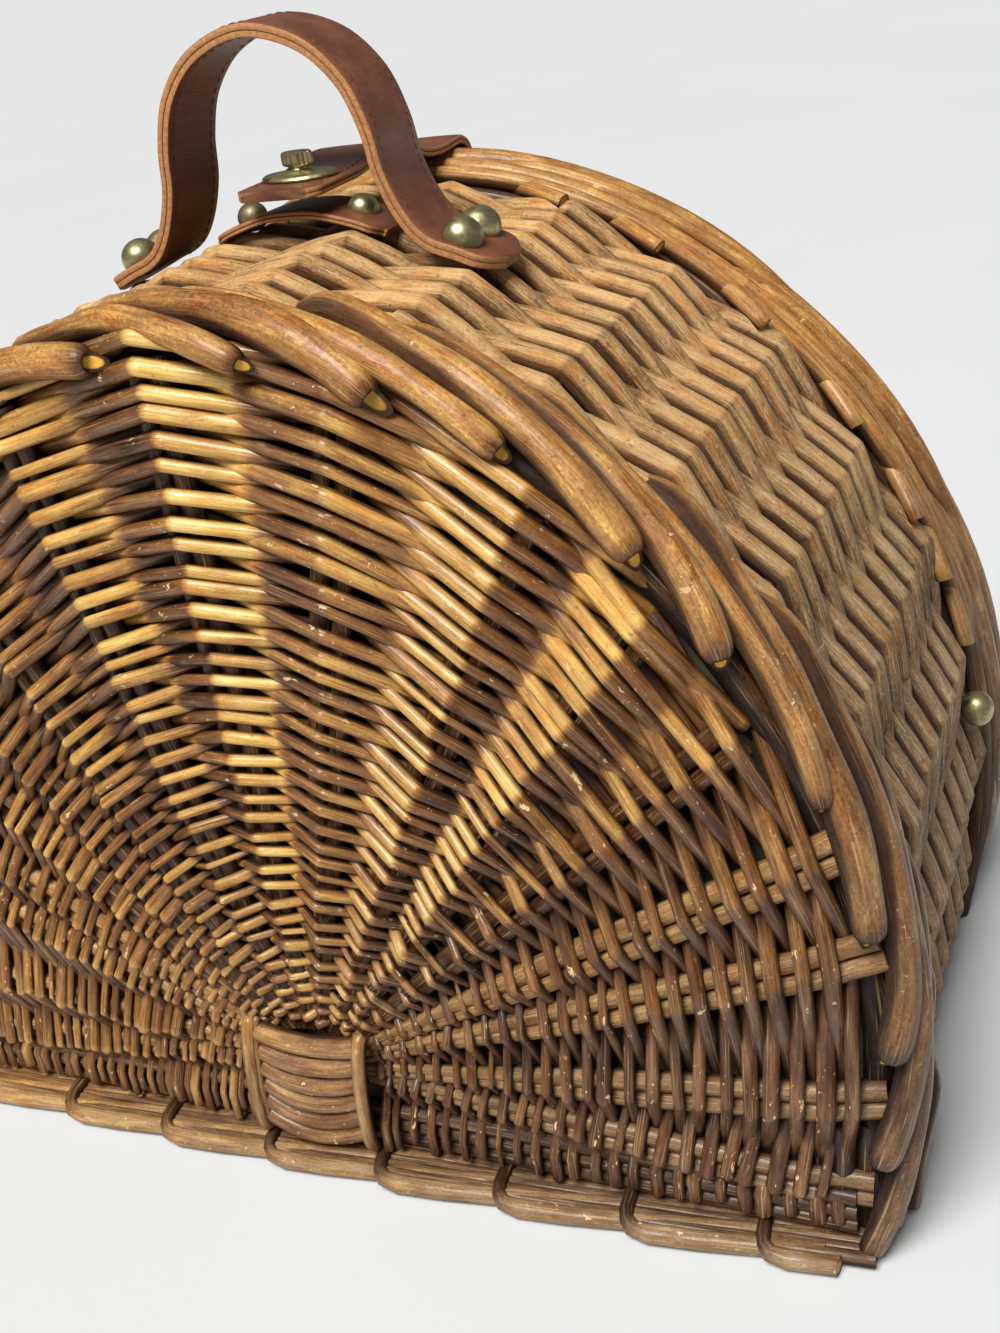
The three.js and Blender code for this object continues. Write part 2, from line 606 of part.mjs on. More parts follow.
function buildLid() {
  const group = new THREE.Group();
  const wall = fanWall(LID_EDGE_DEPTH, LID_FLOOR_Z, LID_INNER_Y, LID_RINGS, 100.4);
  addPiece(group, 'lid_panel', wall, 'varnishedWillow');
  addPiece(group, 'lid_hub', hubBlock(LID_FLOOR_Z, 100.8, 105.2), 'varnishedWillow');
  LID_HOOPS.forEach(({ depth, y }, i) => {
    const hoop = archedRod(depth, y, HOOP_R, HINGE.z + HINGE.rodR + GAP);
    addPiece(group, `lid_hoop_${i + 1}`, hoop, 'borderWillow');
  });
  addPiece(group, 'lid_hinge_rod', straightRod(HINGE.halfLength, HINGE.y, HINGE.z, HINGE.rodR), 'borderWillow');
  addPiece(group, 'hasp_strap', haspStrap(), 'leather');
  const plateZ = HASP.topZ + HASP.thick / 2 + GAP;
  addPiece(group, 'hasp_plate', haspPlate(), 'brass').position.z = plateZ;
  const knob = new THREE.Group();
  knob.position.z = plateZ + 1.25 + GAP;
  addPiece(knob, 'turn_knob', turnKnob(), 'brass');
  group.add(knob);
  return group;
}

const basket = new THREE.Group();
basket.add(buildCase(), buildLid());

export default basket;
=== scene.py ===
# %% [markdown]
# # A half-barrel willow picnic basket
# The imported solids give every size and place, in metres, and this lesson dresses them.
# The real basket is woven from a few hundred willow rods, so almost every piece here is a rod on a path.
# Each step says what the piece is on the real basket, then makes it. Paths are written in mm.

import math

import bpy
import numpy as np
from mathutils import Matrix, Vector


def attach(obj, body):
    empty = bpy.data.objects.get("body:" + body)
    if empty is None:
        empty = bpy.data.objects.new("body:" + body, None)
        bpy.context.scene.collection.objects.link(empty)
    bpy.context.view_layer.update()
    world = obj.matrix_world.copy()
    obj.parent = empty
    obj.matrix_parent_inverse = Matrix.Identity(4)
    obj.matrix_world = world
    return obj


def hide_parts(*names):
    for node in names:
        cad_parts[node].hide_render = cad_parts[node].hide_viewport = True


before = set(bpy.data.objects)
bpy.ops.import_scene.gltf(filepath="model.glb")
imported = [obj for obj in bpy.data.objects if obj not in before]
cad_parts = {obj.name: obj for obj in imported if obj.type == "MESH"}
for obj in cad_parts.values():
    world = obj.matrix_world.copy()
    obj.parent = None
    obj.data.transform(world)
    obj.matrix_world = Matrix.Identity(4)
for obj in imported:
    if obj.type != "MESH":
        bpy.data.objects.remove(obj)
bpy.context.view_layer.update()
MM = 0.001
luck = np.random.default_rng(19)


def in_scene(name, data):
    thing = bpy.data.objects.new(name, data)
    bpy.context.scene.collection.objects.link(thing)
    return thing


# %% [markdown]
# ## Camera
# The photo was taken from close by, from the right of the front and from above, with an ordinary lens.
# The camera's three axes were fitted to the basket's outline, so they are written out as a matrix.

# %% Camera
camera_data = bpy.data.cameras.new("photo_camera")
camera_data.lens = 41.335
camera_data.sensor_width = 36.0
camera_data.clip_start = 0.01
camera = in_scene("photo_camera", camera_data)
right = Vector((0.91412, 0.37977, -0.14200))
up = Vector((-0.05373, 0.46060, 0.88599))
back = Vector((0.40187, -0.80227, 0.44144))
turn = Matrix((right, up, back)).transposed()
camera.matrix_world = Matrix.Translation((0.2524, -0.4221, 0.3723)) @ turn.to_4x4()
bpy.context.scene.camera = camera
print("camera stands", round(camera.location.length, 3), "m from the basket's foot")

# %% [markdown]
# ## Sums that read like sums
# Shader and Geometry Nodes trees are wired in Python. A small class wraps a socket and overloads the
# arithmetic signs, so that 1 - mask adds its own Math node. Any other node comes from one method, which
# takes the node's type, its settings and its inputs. It is easier to read than links made one at a time.

# %% Wire
class Wire:
    """An output socket that can stand in a sum."""

    def __init__(self, maker, socket):
        self.maker = maker
        self.socket = socket

    def sum_of(self, operation, left, right):
        return self.maker.node("ShaderNodeMath", {"operation": operation}, {0: left, 1: right})

    def __add__(self, other):
        return self.sum_of("ADD", self, other)

    def __radd__(self, other):
        return self.sum_of("ADD", other, self)

    def __sub__(self, other):
        return self.sum_of("SUBTRACT", self, other)

    def __rsub__(self, other):
        return self.sum_of("SUBTRACT", other, self)

    def __mul__(self, other):
        return self.sum_of("MULTIPLY", self, other)

    def __rmul__(self, other):
        return self.sum_of("MULTIPLY", other, self)

    def __truediv__(self, other):
        return self.sum_of("DIVIDE", self, other)


print("sockets can be added up")

# %% Maker
class Maker:
    """Adds nodes to one tree."""

    def __init__(self, tree):
        self.tree = tree

    def find(self, sockets, name):
        live = [socket for socket in sockets if socket.enabled]
        if isinstance(name, int):
            return live[name]
        return next(socket for socket in live if socket.name == name)

    def feed(self, socket, value):
        if isinstance(value, Wire):
            self.tree.links.new(value.socket, socket)
        elif socket.type == "RGBA" and len(value) == 3:
            socket.default_value = (*value, 1.0)
        else:
            socket.default_value = value

    def stops(self, ramp, stops):
        while len(ramp.elements) < len(stops):
            ramp.elements.new(0.5)
        for element, (place, colour) in zip(ramp.elements, stops):
            element.position = place
            element.color = (*colour, 1.0)

    def node(self, kind, settings=None, inputs=None, out=0):
        made = self.tree.nodes.new(kind)
        for name, value in (settings or {}).items():
            if name == "stops":
                self.stops(made.color_ramp, value)
            else:
                setattr(made, name, value)
        for name, value in (inputs or {}).items():
            self.feed(self.find(made.inputs, name), value)
        return Wire(self, self.find(made.outputs, out))


print("node maker ready")

# %% [markdown]
# ## Finishes
# Every finish is a Principled shader. What changes over the surface goes only into its colour, roughness,
# metal, coat and normal. This class keeps the few moves that all finishes share: read a stored value, make
# noise, cut a mask out of it, mix or tint a colour, and raise a bump.

# %% Finish
class Finish(Maker):
    """One material, built round a Principled shader."""

    def __init__(self, name, **constants):
        self.material = bpy.data.materials.new(name)
        self.material.use_nodes = True
        super().__init__(self.material.node_tree)
        self.shader = self.tree.nodes["Principled BSDF"]
        for socket, value in constants.items():
            self.shader.inputs[socket.replace("_", " ")].default_value = value

    def stored(self, name, out="Fac"):
        return self.node("ShaderNodeAttribute", {"attribute_name": name}, {}, out)

    def place(self):
        return self.node("ShaderNodeTexCoord", {}, {}, "Object")

    def stretch(self, where, scale, shift=(0, 0, 0)):
        return self.node("ShaderNodeMapping", {}, {"Vector": where, "Scale": scale, "Location": shift})

    def noise(self, where, scale=1.0, detail=3.0, rough=0.55):
        inputs = {"Vector": where, "Scale": scale, "Detail": detail, "Roughness": rough}
        return self.node("ShaderNodeTexNoise", {}, inputs, 0)

    def mask(self, value, low, high):
        inputs = {"Value": value, "From Min": low, "From Max": high}
        return self.node("ShaderNodeMapRange", {"interpolation_type": "SMOOTHSTEP"}, inputs)

    def blend(self, factor, first, second, way="MIX"):
        settings = {"data_type": "RGBA", "blend_type": way, "clamp_result": True}
        return self.node("ShaderNodeMix", settings, {"Factor": factor, "A": first, "B": second}, "Result")

    def tint(self, factor, colour, tint):
        return self.blend(factor, colour, self.blend(1.0, colour, tint, "MULTIPLY"))

    def ramp(self, value, *stops):
        return self.node("ShaderNodeValToRGB", {"stops": stops}, {"Fac": value}, "Color")

    def axis(self, vector, out):
        return self.node("ShaderNodeSeparateXYZ", {}, {"Vector": vector}, out)

    def join(self, x, y, z):
        return self.node("ShaderNodeCombineXYZ", {}, {"X": x, "Y": y, "Z": z})

    def bump(self, height, strength, distance):
        inputs = {"Height": height, "Strength": strength, "Distance": distance}
        return self.node("ShaderNodeBump", {}, inputs, "Normal")

    def wear(self, **links):
        for socket, value in links.items():
            self.feed(self.shader.inputs[socket.replace("_", " ")], value)
        return self.material


print("finish maker ready")

# %% [markdown]
# ## Willow bark
# A varnished rod is streaked along its length and pale where it is rubbed. Its sides and the parts that lie
# deep in the weave are darkened as painted shade. Each rod carries its own tone, and the flanks of its bends
# are made paler or darker by the way they face the light, as painted light and shade. The streaks follow the
# rod because the shader reads values stored on its mesh: ring is the place round the rod, along is the length
# in mm, and tone, the stain with its painted light and shade, proud and pith say how light each spot is.
# Crest is 1 on the side of the rod that looks out of the basket and 0 on its flanks. Fine grain breaks up all
# of it.

# %% Bark finish
def bark(name, stops, rough, gloss, scuff, dust, grit, bare, side_shade_range, foot, dust_and_shade_tint, dust_and_shade_lean):
    """Foot values darken the bark low and to the right, painted shade with dust; the rest say how worn it is.
    """
    finish = Finish(name, Coat_Roughness=0.17, Coat_IOR=1.45, Specular_IOR_Level=0.32)
    ring = finish.stored("ring", "Vector")
    across, over = finish.axis(ring, "X"), finish.axis(ring, "Y")
    proud, crest, pith = [finish.stored(key) for key in ("proud", "crest", "pith")]
    skin = finish.join(across, over, finish.stored("along"))

    def streak(girth, length, detail, rough=0.55, shift=0.0):
        return finish.noise(finish.stretch(skin, (girth, girth, length), (0, 0, shift)), 1.0, detail, rough)

    fibre = streak(3.2, 0.05, 5.0, 0.65)
    crack = streak(8.5, 0.13, 3.0, 0.6)
    patch = streak(0.7, 0.06, 4.0, 0.6)
    fleck = streak(2.1, 0.42, 3.0, 0.7)
    grain = streak(5.5, 0.85, 4.0, 0.75)
    # Low proud, where a rod lies deep in the weave, makes it darker: painted shade.
    light = finish.stored("tone") * 0.22 + finish.stored("stain") * 0.52 + proud * 0.22 + 0.02
    light = light + (patch - 0.5) * 0.7 + (fibre - 0.5) * 0.55
    light = light + (crack - 0.5) * (0.35 + dust * 0.9) + (grain - 0.5) * grit
    ruddy = finish.mask(streak(0.9, 0.09, 3.0, shift=50.0), 0.46, 0.66)
    colour = finish.tint(ruddy, finish.ramp(light, *stops), (0.95, 0.74, 0.55))
    # Low down and to the right the bark is darkened and greyed: painted shade, with some dust.
    spot = finish.place()
    height = finish.axis(spot, "Z") - finish.axis(spot, "X") * dust_and_shade_lean
    colour = finish.tint(finish.mask(height, *foot), colour, dust_and_shade_tint)
    pale_crest = finish.mask(streak(1.3, 0.05, 5.0, 0.7, 140.0) + (grain - 0.5) * 0.4, 0.50, 0.60)
    colour = finish.tint(pale_crest * finish.mask(crest, 0.1, 0.8) * bare, colour, (1.55, 1.66, 1.55))
    scratch = finish.mask(streak(6.0, 0.035, 2.0, shift=20.0), 0.59, 0.68) * scuff
    colour = finish.blend(scratch * 0.5, colour, (0.46, 0.31, 0.16))
    # The sides of each rod, where it meets its neighbours, are darkened: painted shade.
    side_shade = finish.mask(crest + (fibre - 0.5) * 0.5, *side_shade_range)
    colour = finish.tint(side_shade * 0.92, colour, (0.16, 0.12, 0.10))
    dusty = finish.mask(crack + (grain - 0.5) * 0.6, 0.54, 0.66) * dust
    colour = finish.blend(dusty * (1 - side_shade), colour, (0.46, 0.36, 0.21))
    flake = streak(0.8, 0.20, 3.0, 0.6, 90.0)
    chip = finish.mask(fleck, 0.655, 0.70) + finish.mask(flake, 0.665, 0.69)
    chip = chip * finish.mask(proud, 0.45, 0.8) * (1 - side_shade) * scuff
    colour = finish.blend(chip, colour, (0.68, 0.50, 0.28))
    colour = finish.blend(finish.mask(fleck, 0.37, 0.30) * 0.6, colour, (0.035, 0.017, 0.008))
    colour = finish.blend(finish.mask(pith, 0.0, 0.5) * 0.75, colour, (0.055, 0.024, 0.010))
    heart = finish.blend(finish.mask(fibre, 0.3, 0.7), (0.72, 0.32, 0.03), (0.95, 0.55, 0.07))
    colour = finish.blend(finish.mask(across * across + over * over, 0.58, 0.28) * pith, colour, heart)
    relief = fibre * 0.5 + crack * 0.5 + patch * 0.4 + grain * grit - chip * 0.25
    return finish.wear(
        Base_Color=colour,
        Roughness=rough + (fibre - 0.5) * 0.35 + chip * 0.25 + side_shade * 0.35,
        Coat_Weight=gloss * (1 - chip) * (1 - side_shade) * finish.mask(patch, 0.25, 0.6),
        Normal=finish.bump(relief, 0.65, 0.0007 + dust * 0.0007),
    )


print("bark maker ready")

# %% Three barks
VARNISHED = [(0.00, (0.022, 0.008, 0.003)), (0.24, (0.092, 0.034, 0.008)), (0.45, (0.230, 0.098, 0.021))]
VARNISHED += [(0.65, (0.490, 0.268, 0.062)), (0.86, (0.720, 0.455, 0.115)), (1.00, (0.840, 0.590, 0.210))]
varnished_willow = bark(
    "varnished_willow", VARNISHED, rough=0.36, gloss=0.60, scuff=0.9, dust=0.0, grit=0.28, bare=0.25,
    side_shade_range=(0.46, -0.14), foot=(0.17, -0.03), dust_and_shade_tint=(0.61, 0.63, 1.00), dust_and_shade_lean=0.45,
)
DRY = [(0.00, (0.034, 0.015, 0.005)), (0.25, (0.180, 0.093, 0.031)), (0.50, (0.440, 0.246, 0.090))]
DRY += [(0.75, (0.670, 0.400, 0.162)), (1.00, (0.830, 0.550, 0.260))]
dry_willow = bark(
    "dry_willow", DRY, rough=0.62, gloss=0.05, scuff=0.3, dust=0.55, grit=0.75, bare=0.0,
    side_shade_range=(0.66, -0.04), foot=(0.290, 0.13), dust_and_shade_tint=(0.41, 0.45, 0.58), dust_and_shade_lean=0.0,
)
BORDER = [(0.00, (0.026, 0.009, 0.002)), (0.25, (0.125, 0.047, 0.010)), (0.50, (0.330, 0.152, 0.038))]
BORDER += [(0.75, (0.590, 0.325, 0.092)), (1.00, (0.820, 0.530, 0.195))]
border_willow = bark(
    "border_willow", BORDER, rough=0.42, gloss=0.30, scuff=1.0, dust=0.0, grit=0.50, bare=0.75,
    side_shade_range=(0.38, -0.18), foot=(0.24, -0.05), dust_and_shade_tint=(0.37, 0.41, 0.68), dust_and_shade_lean=0.45,
)
print("three barks made")

# %% [markdown]
# ## A rod on a path
# A rod is a line of points with a thickness, and a willow weave is a bundle of such lines. Geometry Nodes
# suit this: the bundle starts as bare edges that carry their thickness, and the tree sweeps a circle along
# every edge at once. The cut ends are slanted by pushing the last ring along the rod. One class opens and
# closes a tree, because stitches and rivets need trees as well.

# %% Growth
class Growth(Maker):
    """One Geometry Nodes tree with named inputs."""

    def __init__(self, name, given, made):
        tree = bpy.data.node_groups.new(name, "GeometryNodeTree")
        for socket, kind in given.items():
            tree.interface.new_socket(socket, in_out="INPUT", socket_type="NodeSocket" + kind)
        tree.interface.new_socket(made, in_out="OUTPUT", socket_type="NodeSocketGeometry")
        super().__init__(tree)
        source = tree.nodes.new("NodeGroupInput")
        self.given = [Wire(self, source.outputs[k]) for k in range(len(given))]

    def stored(self, name, kind="FLOAT"):
        return self.node("GeometryNodeInputNamedAttribute", {"data_type": kind}, {"Name": name}, "Attribute")

    def keep(self, mesh, name, value, kind="FLOAT"):
        settings = {"data_type": kind, "domain": "POINT"}
        inputs = {"Geometry": mesh, "Name": name, "Value": value}
        return self.node("GeometryNodeStoreNamedAttribute", settings, inputs)

    def vector(self, operation, left, right, out=0):
        return self.node("ShaderNodeVectorMath", {"operation": operation}, {0: left, 1: right}, out)

    def lay(self, shape, points, facing, size):
        turned = self.node("FunctionNodeAlignRotationToVector", {"axis": "Z"}, {"Vector": facing})
        inputs = {"Points": points, "Instance": shape, "Rotation": turned, "Scale": size}
        return self.node("GeometryNodeInstanceOnPoints", {}, inputs)

    def close(self, mesh, finish):
        mesh = self.node("GeometryNodeRealizeInstances", {}, {"Geometry": mesh})
        mesh = self.node("GeometryNodeSetShadeSmooth", {}, {0: mesh})
        mesh = self.node("GeometryNodeSetMaterial", {}, {"Geometry": mesh, "Material": finish})
        result = self.tree.nodes.new("NodeGroupOutput")
        self.tree.links.new(mesh.socket, result.inputs[0])
        print("tree", self.tree.name, "has", len(self.tree.nodes), "nodes")
        return self.tree


print("tree maker ready")

# %% Rods tree
def rods_tree():
    grow = Growth("willow_rods", {"Lines": "Geometry", "Sides": "Int", "Bark": "Material"}, "Rods")
    lines, sides, finish = grow.given
    spot = grow.node("GeometryNodeInputPosition")
    thick = grow.stored("thick")
    curve = grow.node("GeometryNodeMeshToCurve", {}, {"Mesh": lines})
    circle = grow.node("GeometryNodeCurvePrimitiveCircle", {}, {"Resolution": sides, "Radius": 1.0})
    circle = grow.keep(circle, "ring", spot, "FLOAT_VECTOR")
    swept = {"Curve": curve, "Profile Curve": circle, "Scale": thick, "Fill Caps": True}
    mesh = grow.node("GeometryNodeCurveToMesh", {}, swept)
    from_centre = grow.vector("SUBTRACT", spot, grow.stored("centre", "FLOAT_VECTOR"))
    height = grow.vector("DOT_PRODUCT", from_centre, grow.stored("outward", "FLOAT_VECTOR"), "Value")
    mesh = grow.keep(mesh, "crest", height / thick)
    lean = grow.vector("DOT_PRODUCT", from_centre, grow.stored("cut", "FLOAT_VECTOR"), "Value")
    inputs = {0: grow.stored("axis", "FLOAT_VECTOR"), "Scale": lean}
    push = grow.node("ShaderNodeVectorMath", {"operation": "SCALE"}, inputs)
    mesh = grow.node("GeometryNodeSetPosition", {}, {"Geometry": mesh, "Offset": push})
    return grow.close(mesh, finish)


willow_rods = rods_tree()

# %% [markdown]
# ## From tree to plain mesh
# The modifier's inputs are set before Blender first works the tree out. Then the result is kept as an
# ordinary mesh, the modifier goes, and the piece is handed to a body of the frame.

# %% Bake and hand over
def drawn(name, spots, edges=(), faces=()):
    """A bare mesh from points in mm."""
    mesh = bpy.data.meshes.new(name)
    mesh.from_pydata((np.asarray(spots) * MM).tolist(), edges, faces)
    return mesh


def store(mesh, key, values):
    """Keeps one number or one vector for each point of a mesh."""
    values = np.asarray(values, float)
    kind, field = ("FLOAT", "value") if values.ndim == 1 else ("FLOAT_VECTOR", "vector")
    mesh.attributes.new(key, kind, "POINT").data.foreach_set(field, values.ravel())


def grown(name, mesh, tree, values):
    piece = in_scene(name, mesh)
    modifier = piece.modifiers.new(tree.name, "NODES")
    modifier.node_group = tree
    for item in tree.interface.items_tree:
        if item.in_out == "INPUT" and item.name in values:
            modifier[item.identifier] = values[item.name]
    depsgraph = bpy.context.evaluated_depsgraph_get()
    plain = bpy.data.meshes.new_from_object(piece.evaluated_get(depsgraph), depsgraph=depsgraph)
    piece.modifiers.remove(modifier)
    piece.data = plain
    plain.name = name
    return piece


def hand_over(piece, body, slot, *nodes):
    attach(piece, body)
    if nodes:
        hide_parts(*nodes)
    print(piece.name, "rides on", body, "with", len(piece.data.polygons), "faces")


def named(start):
    return sorted(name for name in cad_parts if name.startswith(start))


print(len(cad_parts), "solids to dress")

# %% Rods bundle
APART = 173.0


def chains(lines):
    """The edges that join the points of each line."""
    ends = np.cumsum([len(line) for line in lines])
    first = np.setdiff1d(np.arange(ends[-1] - 1), ends - 1)
    return np.column_stack([first, first + 1]).tolist()


class Rods:
    """A bundle of lines in mm that becomes one mesh of willow rods."""

    def __init__(self):
        self.lines = []

    def add(self, line, thick, tone, proud=0.5, slant=None, heart=0.6, stain=0.5, out=(0, 0, 1)):
        line = np.array(line, float)
        steps = np.linalg.norm(np.diff(line, axis=0), axis=1)
        along = np.concatenate([[0.0], np.cumsum(steps)]) + APART * len(self.lines)
        rod = {"centre": line, "along": along}
        for key, value in {"thick": thick, "tone": tone, "proud": proud, "stain": stain, "pith": 0}.items():
            rod[key] = np.broadcast_to(np.asarray(value, float), len(line))
        for key, value in {"outward": out, "cut": 0, "axis": 0}.items():
            rod[key] = np.broadcast_to(np.asarray(value, float), line.shape)
        if slant is not None:
            way = (line[-1] - line[-2]) / steps[-1]
            rod = {key: np.concatenate([values, values[-1:]]) for key, values in rod.items()}
            rod["centre"][-1] += way * 0.05
            rod["thick"][-1] *= 0.97
            rod["pith"][-1] = heart
            rod["cut"][-2:] = slant - way * np.dot(slant, way)
            rod["axis"][-2:] = way
        self.lines.append(rod)

    def make(self, name, finish, sides, body, slot, *nodes):
        whole = {key: np.concatenate([rod[key] for rod in self.lines]) for key in self.lines[0]}
        mesh = drawn(name + "_lines", whole["centre"], chains([rod["centre"] for rod in self.lines]))
        for key, values in whole.items():
            store(mesh, key, values * MM if key in ("centre", "thick") else values)
        piece = grown(name, mesh, willow_rods, {"Sides": sides, "Bark": finish})
        for key in ("thick", "cut", "axis", "centre", "outward"):
            piece.data.attributes.remove(piece.data.attributes[key])
        print(name, "is a bundle of", len(self.lines), "rods")
        hand_over(piece, body, slot, *nodes)


def points(x, y, z):
    """A line of points, where x, y or z may stay the same all along."""
    return np.column_stack(np.broadcast_arrays(x, y, z))


# Rods hidden inside the borders get the darkest tone: painted shade.
HIDDEN_SHADE = {"tone": 0.1, "proud": 0.1, "stain": 0.0}
PLAIN = {"tone": 0.45, "proud": 0.45}
print("rods can be bundled, hidden ones in the darkest tone")

# %% [markdown]
# ## The arch
# The basket's outline is a squarish arch on two short legs. A place on it is a length s from the crown,
# to the right, a depth under the outline, and y from front to back. One table of points serves all pieces.

# %% Arch
HALF_WIDTH = 196.0
BASE_HALF_WIDTH = 187.0
CROWN_Z = 297.4
SPRING_Z = 78.7
ARCH_POWER = 1.88
STAKE_PITCH = 43.0

bend = np.radians(np.linspace(90.0, 0.0, 721))
leg_z = np.linspace(SPRING_Z, 0.0, 120)[1:]
arch_x = HALF_WIDTH * np.clip(np.cos(bend), 0, None) ** (2 / ARCH_POWER)
arch_z = SPRING_Z + (CROWN_Z - SPRING_Z) * np.sin(bend) ** (2 / ARCH_POWER)
leg_x = BASE_HALF_WIDTH + (HALF_WIDTH - BASE_HALF_WIDTH) * np.sin(leg_z / SPRING_Z * np.pi / 2)
outline_x = np.concatenate([arch_x, leg_x])
outline_z = np.concatenate([arch_z, leg_z])
outline_s = np.concatenate([[0.0], np.cumsum(np.hypot(np.diff(outline_x), np.diff(outline_z)))])
slope_x = np.gradient(outline_x, outline_s)
slope_z = np.gradient(outline_z, outline_s)
HALF_LENGTH = outline_s[-1]


def on_arch(s, depth, y):
    s, depth, y = np.broadcast_arrays(np.asarray(s, float), depth, y)
    side = np.where(s < 0, -1.0, 1.0)
    size = np.abs(s)
    x = np.interp(size, outline_s, outline_x) + depth * np.interp(size, outline_s, slope_z)
    z = np.interp(size, outline_s, outline_z) - depth * np.interp(size, outline_s, slope_x)
    return np.stack([side * x, y, z], axis=-1)


def along_arch(margin, count):
    """Even steps from foot to foot."""
    return np.linspace(margin - HALF_LENGTH, HALF_LENGTH - margin, count)


print("arch half length", round(HALF_LENGTH, 1), "mm")

# %% [markdown]
# ## The fan-woven front
# Pairs of stakes fan out from a hub low on the front, and thin weavers run round in seventy rows, in front
# of one pair and behind the next. Every third row stops short on the right, so the rows there lie further
# apart. The lid is woven the same way, so one class serves both. A row is bent sharply at the stakes, as
# real willow is, and is laid in two or three lengths.

# %% Fan geometry
FAN_ANGLES = [-4.0, 7.0, 22.0, 31.0, 42.5, 52.5, 63.0, 76.5]
FAN_ROWS = 70
HUB_X = -2.0
FRONT_HUB_Z = 35.0
LID_HUB_Z = 46.65
HUB_HALF_X = 23.5
HUB_HALF_Z = 21.0
SPARSE_BELOW = 46.0


class Fan:
    """Places of one fan weave: its hub, its floor, its plane and the way it faces."""

    def __init__(self, hub_z, floor_z, plane, facing, edge_depths):
        self.hub = np.array([HUB_X, hub_z])
        self.floor = floor_z
        self.plane = plane
        self.facing = facing
        self.out = np.array([0.0, facing, 0.0])
        self.angles = np.radians(FAN_ANGLES + [90.0] + [180.0 - a for a in FAN_ANGLES[::-1]])
        rim_s = along_arch(0.0, 1600)
        rim_depth = np.interp(np.abs(rim_s), [0.0, 200.0, HALF_LENGTH], edge_depths)
        rim = on_arch(rim_s, rim_depth, 0.0) - [HUB_X, 0.0, hub_z]
        reach = np.hypot(rim[:, 0], rim[:, 2])
        lean = np.arctan2(rim[:, 2], rim[:, 0])
        lean = np.where(lean < -np.pi / 2, lean + 2 * np.pi, lean)
        order = np.argsort(lean)
        self.outer = np.interp(self.angles, lean[order], reach[order])
        self.inner = 1 / np.hypot(np.cos(self.angles) / HUB_HALF_X, np.sin(self.angles) / HUB_HALF_Z)
        self.aside = np.degrees(self.angles) < SPARSE_BELOW

    def crossings(self, number):
        """One row: its bends, their angles, and 1 where it passes in front of the stake or -1 behind."""
        whole = number % 3 != 2
        rank = number - (number + 1) // 3
        spread = self.aside & whole
        share = np.where(spread, rank * 1.5, number) + 0.4 + luck.normal(0.0, 0.08)
        size = self.inner + (self.outer - self.inner) * (share / FAN_ROWS) ** 1.12
        way = np.column_stack([np.cos(self.angles), np.sin(self.angles)])
        places = self.hub + size[:, None] * way + luck.normal(0.0, 0.62, way.shape)
        signs = np.where((np.where(spread, rank, number) + np.arange(len(size))) % 2, 1.0, -1.0)
        foot = self.floor + 4.4
        places = np.vstack([[places[0, 0], foot], places, [places[-1, 0], foot]])
        angles = np.concatenate([self.angles[:1], self.angles, self.angles[-1:]])
        signs = np.concatenate([-signs[:1], signs, -signs[-1:]])
        first = 0 if whole else self.aside.sum()
        return places[first:], angles[first:], signs[first:], whole


front_fan = Fan(FRONT_HUB_Z, floor_z=13.15, plane=-93.2, facing=-1.0, edge_depths=[9.0, 12.0, 19.0])
lid_fan = Fan(LID_HUB_Z, floor_z=24.8, plane=95.8, facing=1.0, edge_depths=[11.0, 12.0, 15.0])
print("each fan has", len(front_fan.angles), "pairs of stakes and", FAN_ROWS, "rows")

# %% One row of a fan
# How much painted light the flanks get at each stake angle.
FLANK_LIGHT_ANGLES = [0.0, 22.0, 33.0, 44.0, 56.0, 92.0, 104.0, 120.0, 180.0]
FLANK_LIGHT_LEVELS = [0.06, 0.08, 0.15, 0.42, 0.88, 1.0, 0.60, 0.36, 0.26]
WEAVE_DEPTH = 10.8


def fade(value, start, end):
    """Runs evenly from 0 at the start to 1 at the end."""
    return np.clip((value - start) / (end - start), 0.0, 1.0)


def flank_light(angles, side):
    """Painted light on a flank of a bend: the flanks that look up and to the right are the palest."""
    lean = side * (-0.29 * np.sin(angles) + 0.96 * np.cos(angles))
    pale = fade(lean, -0.12, 0.30) * np.interp(np.degrees(angles), FLANK_LIGHT_ANGLES, FLANK_LIGHT_LEVELS)
    return np.clip(0.02 + 0.95 * pale + luck.normal(0.0, 0.06, len(angles)), 0.0, 1.0)


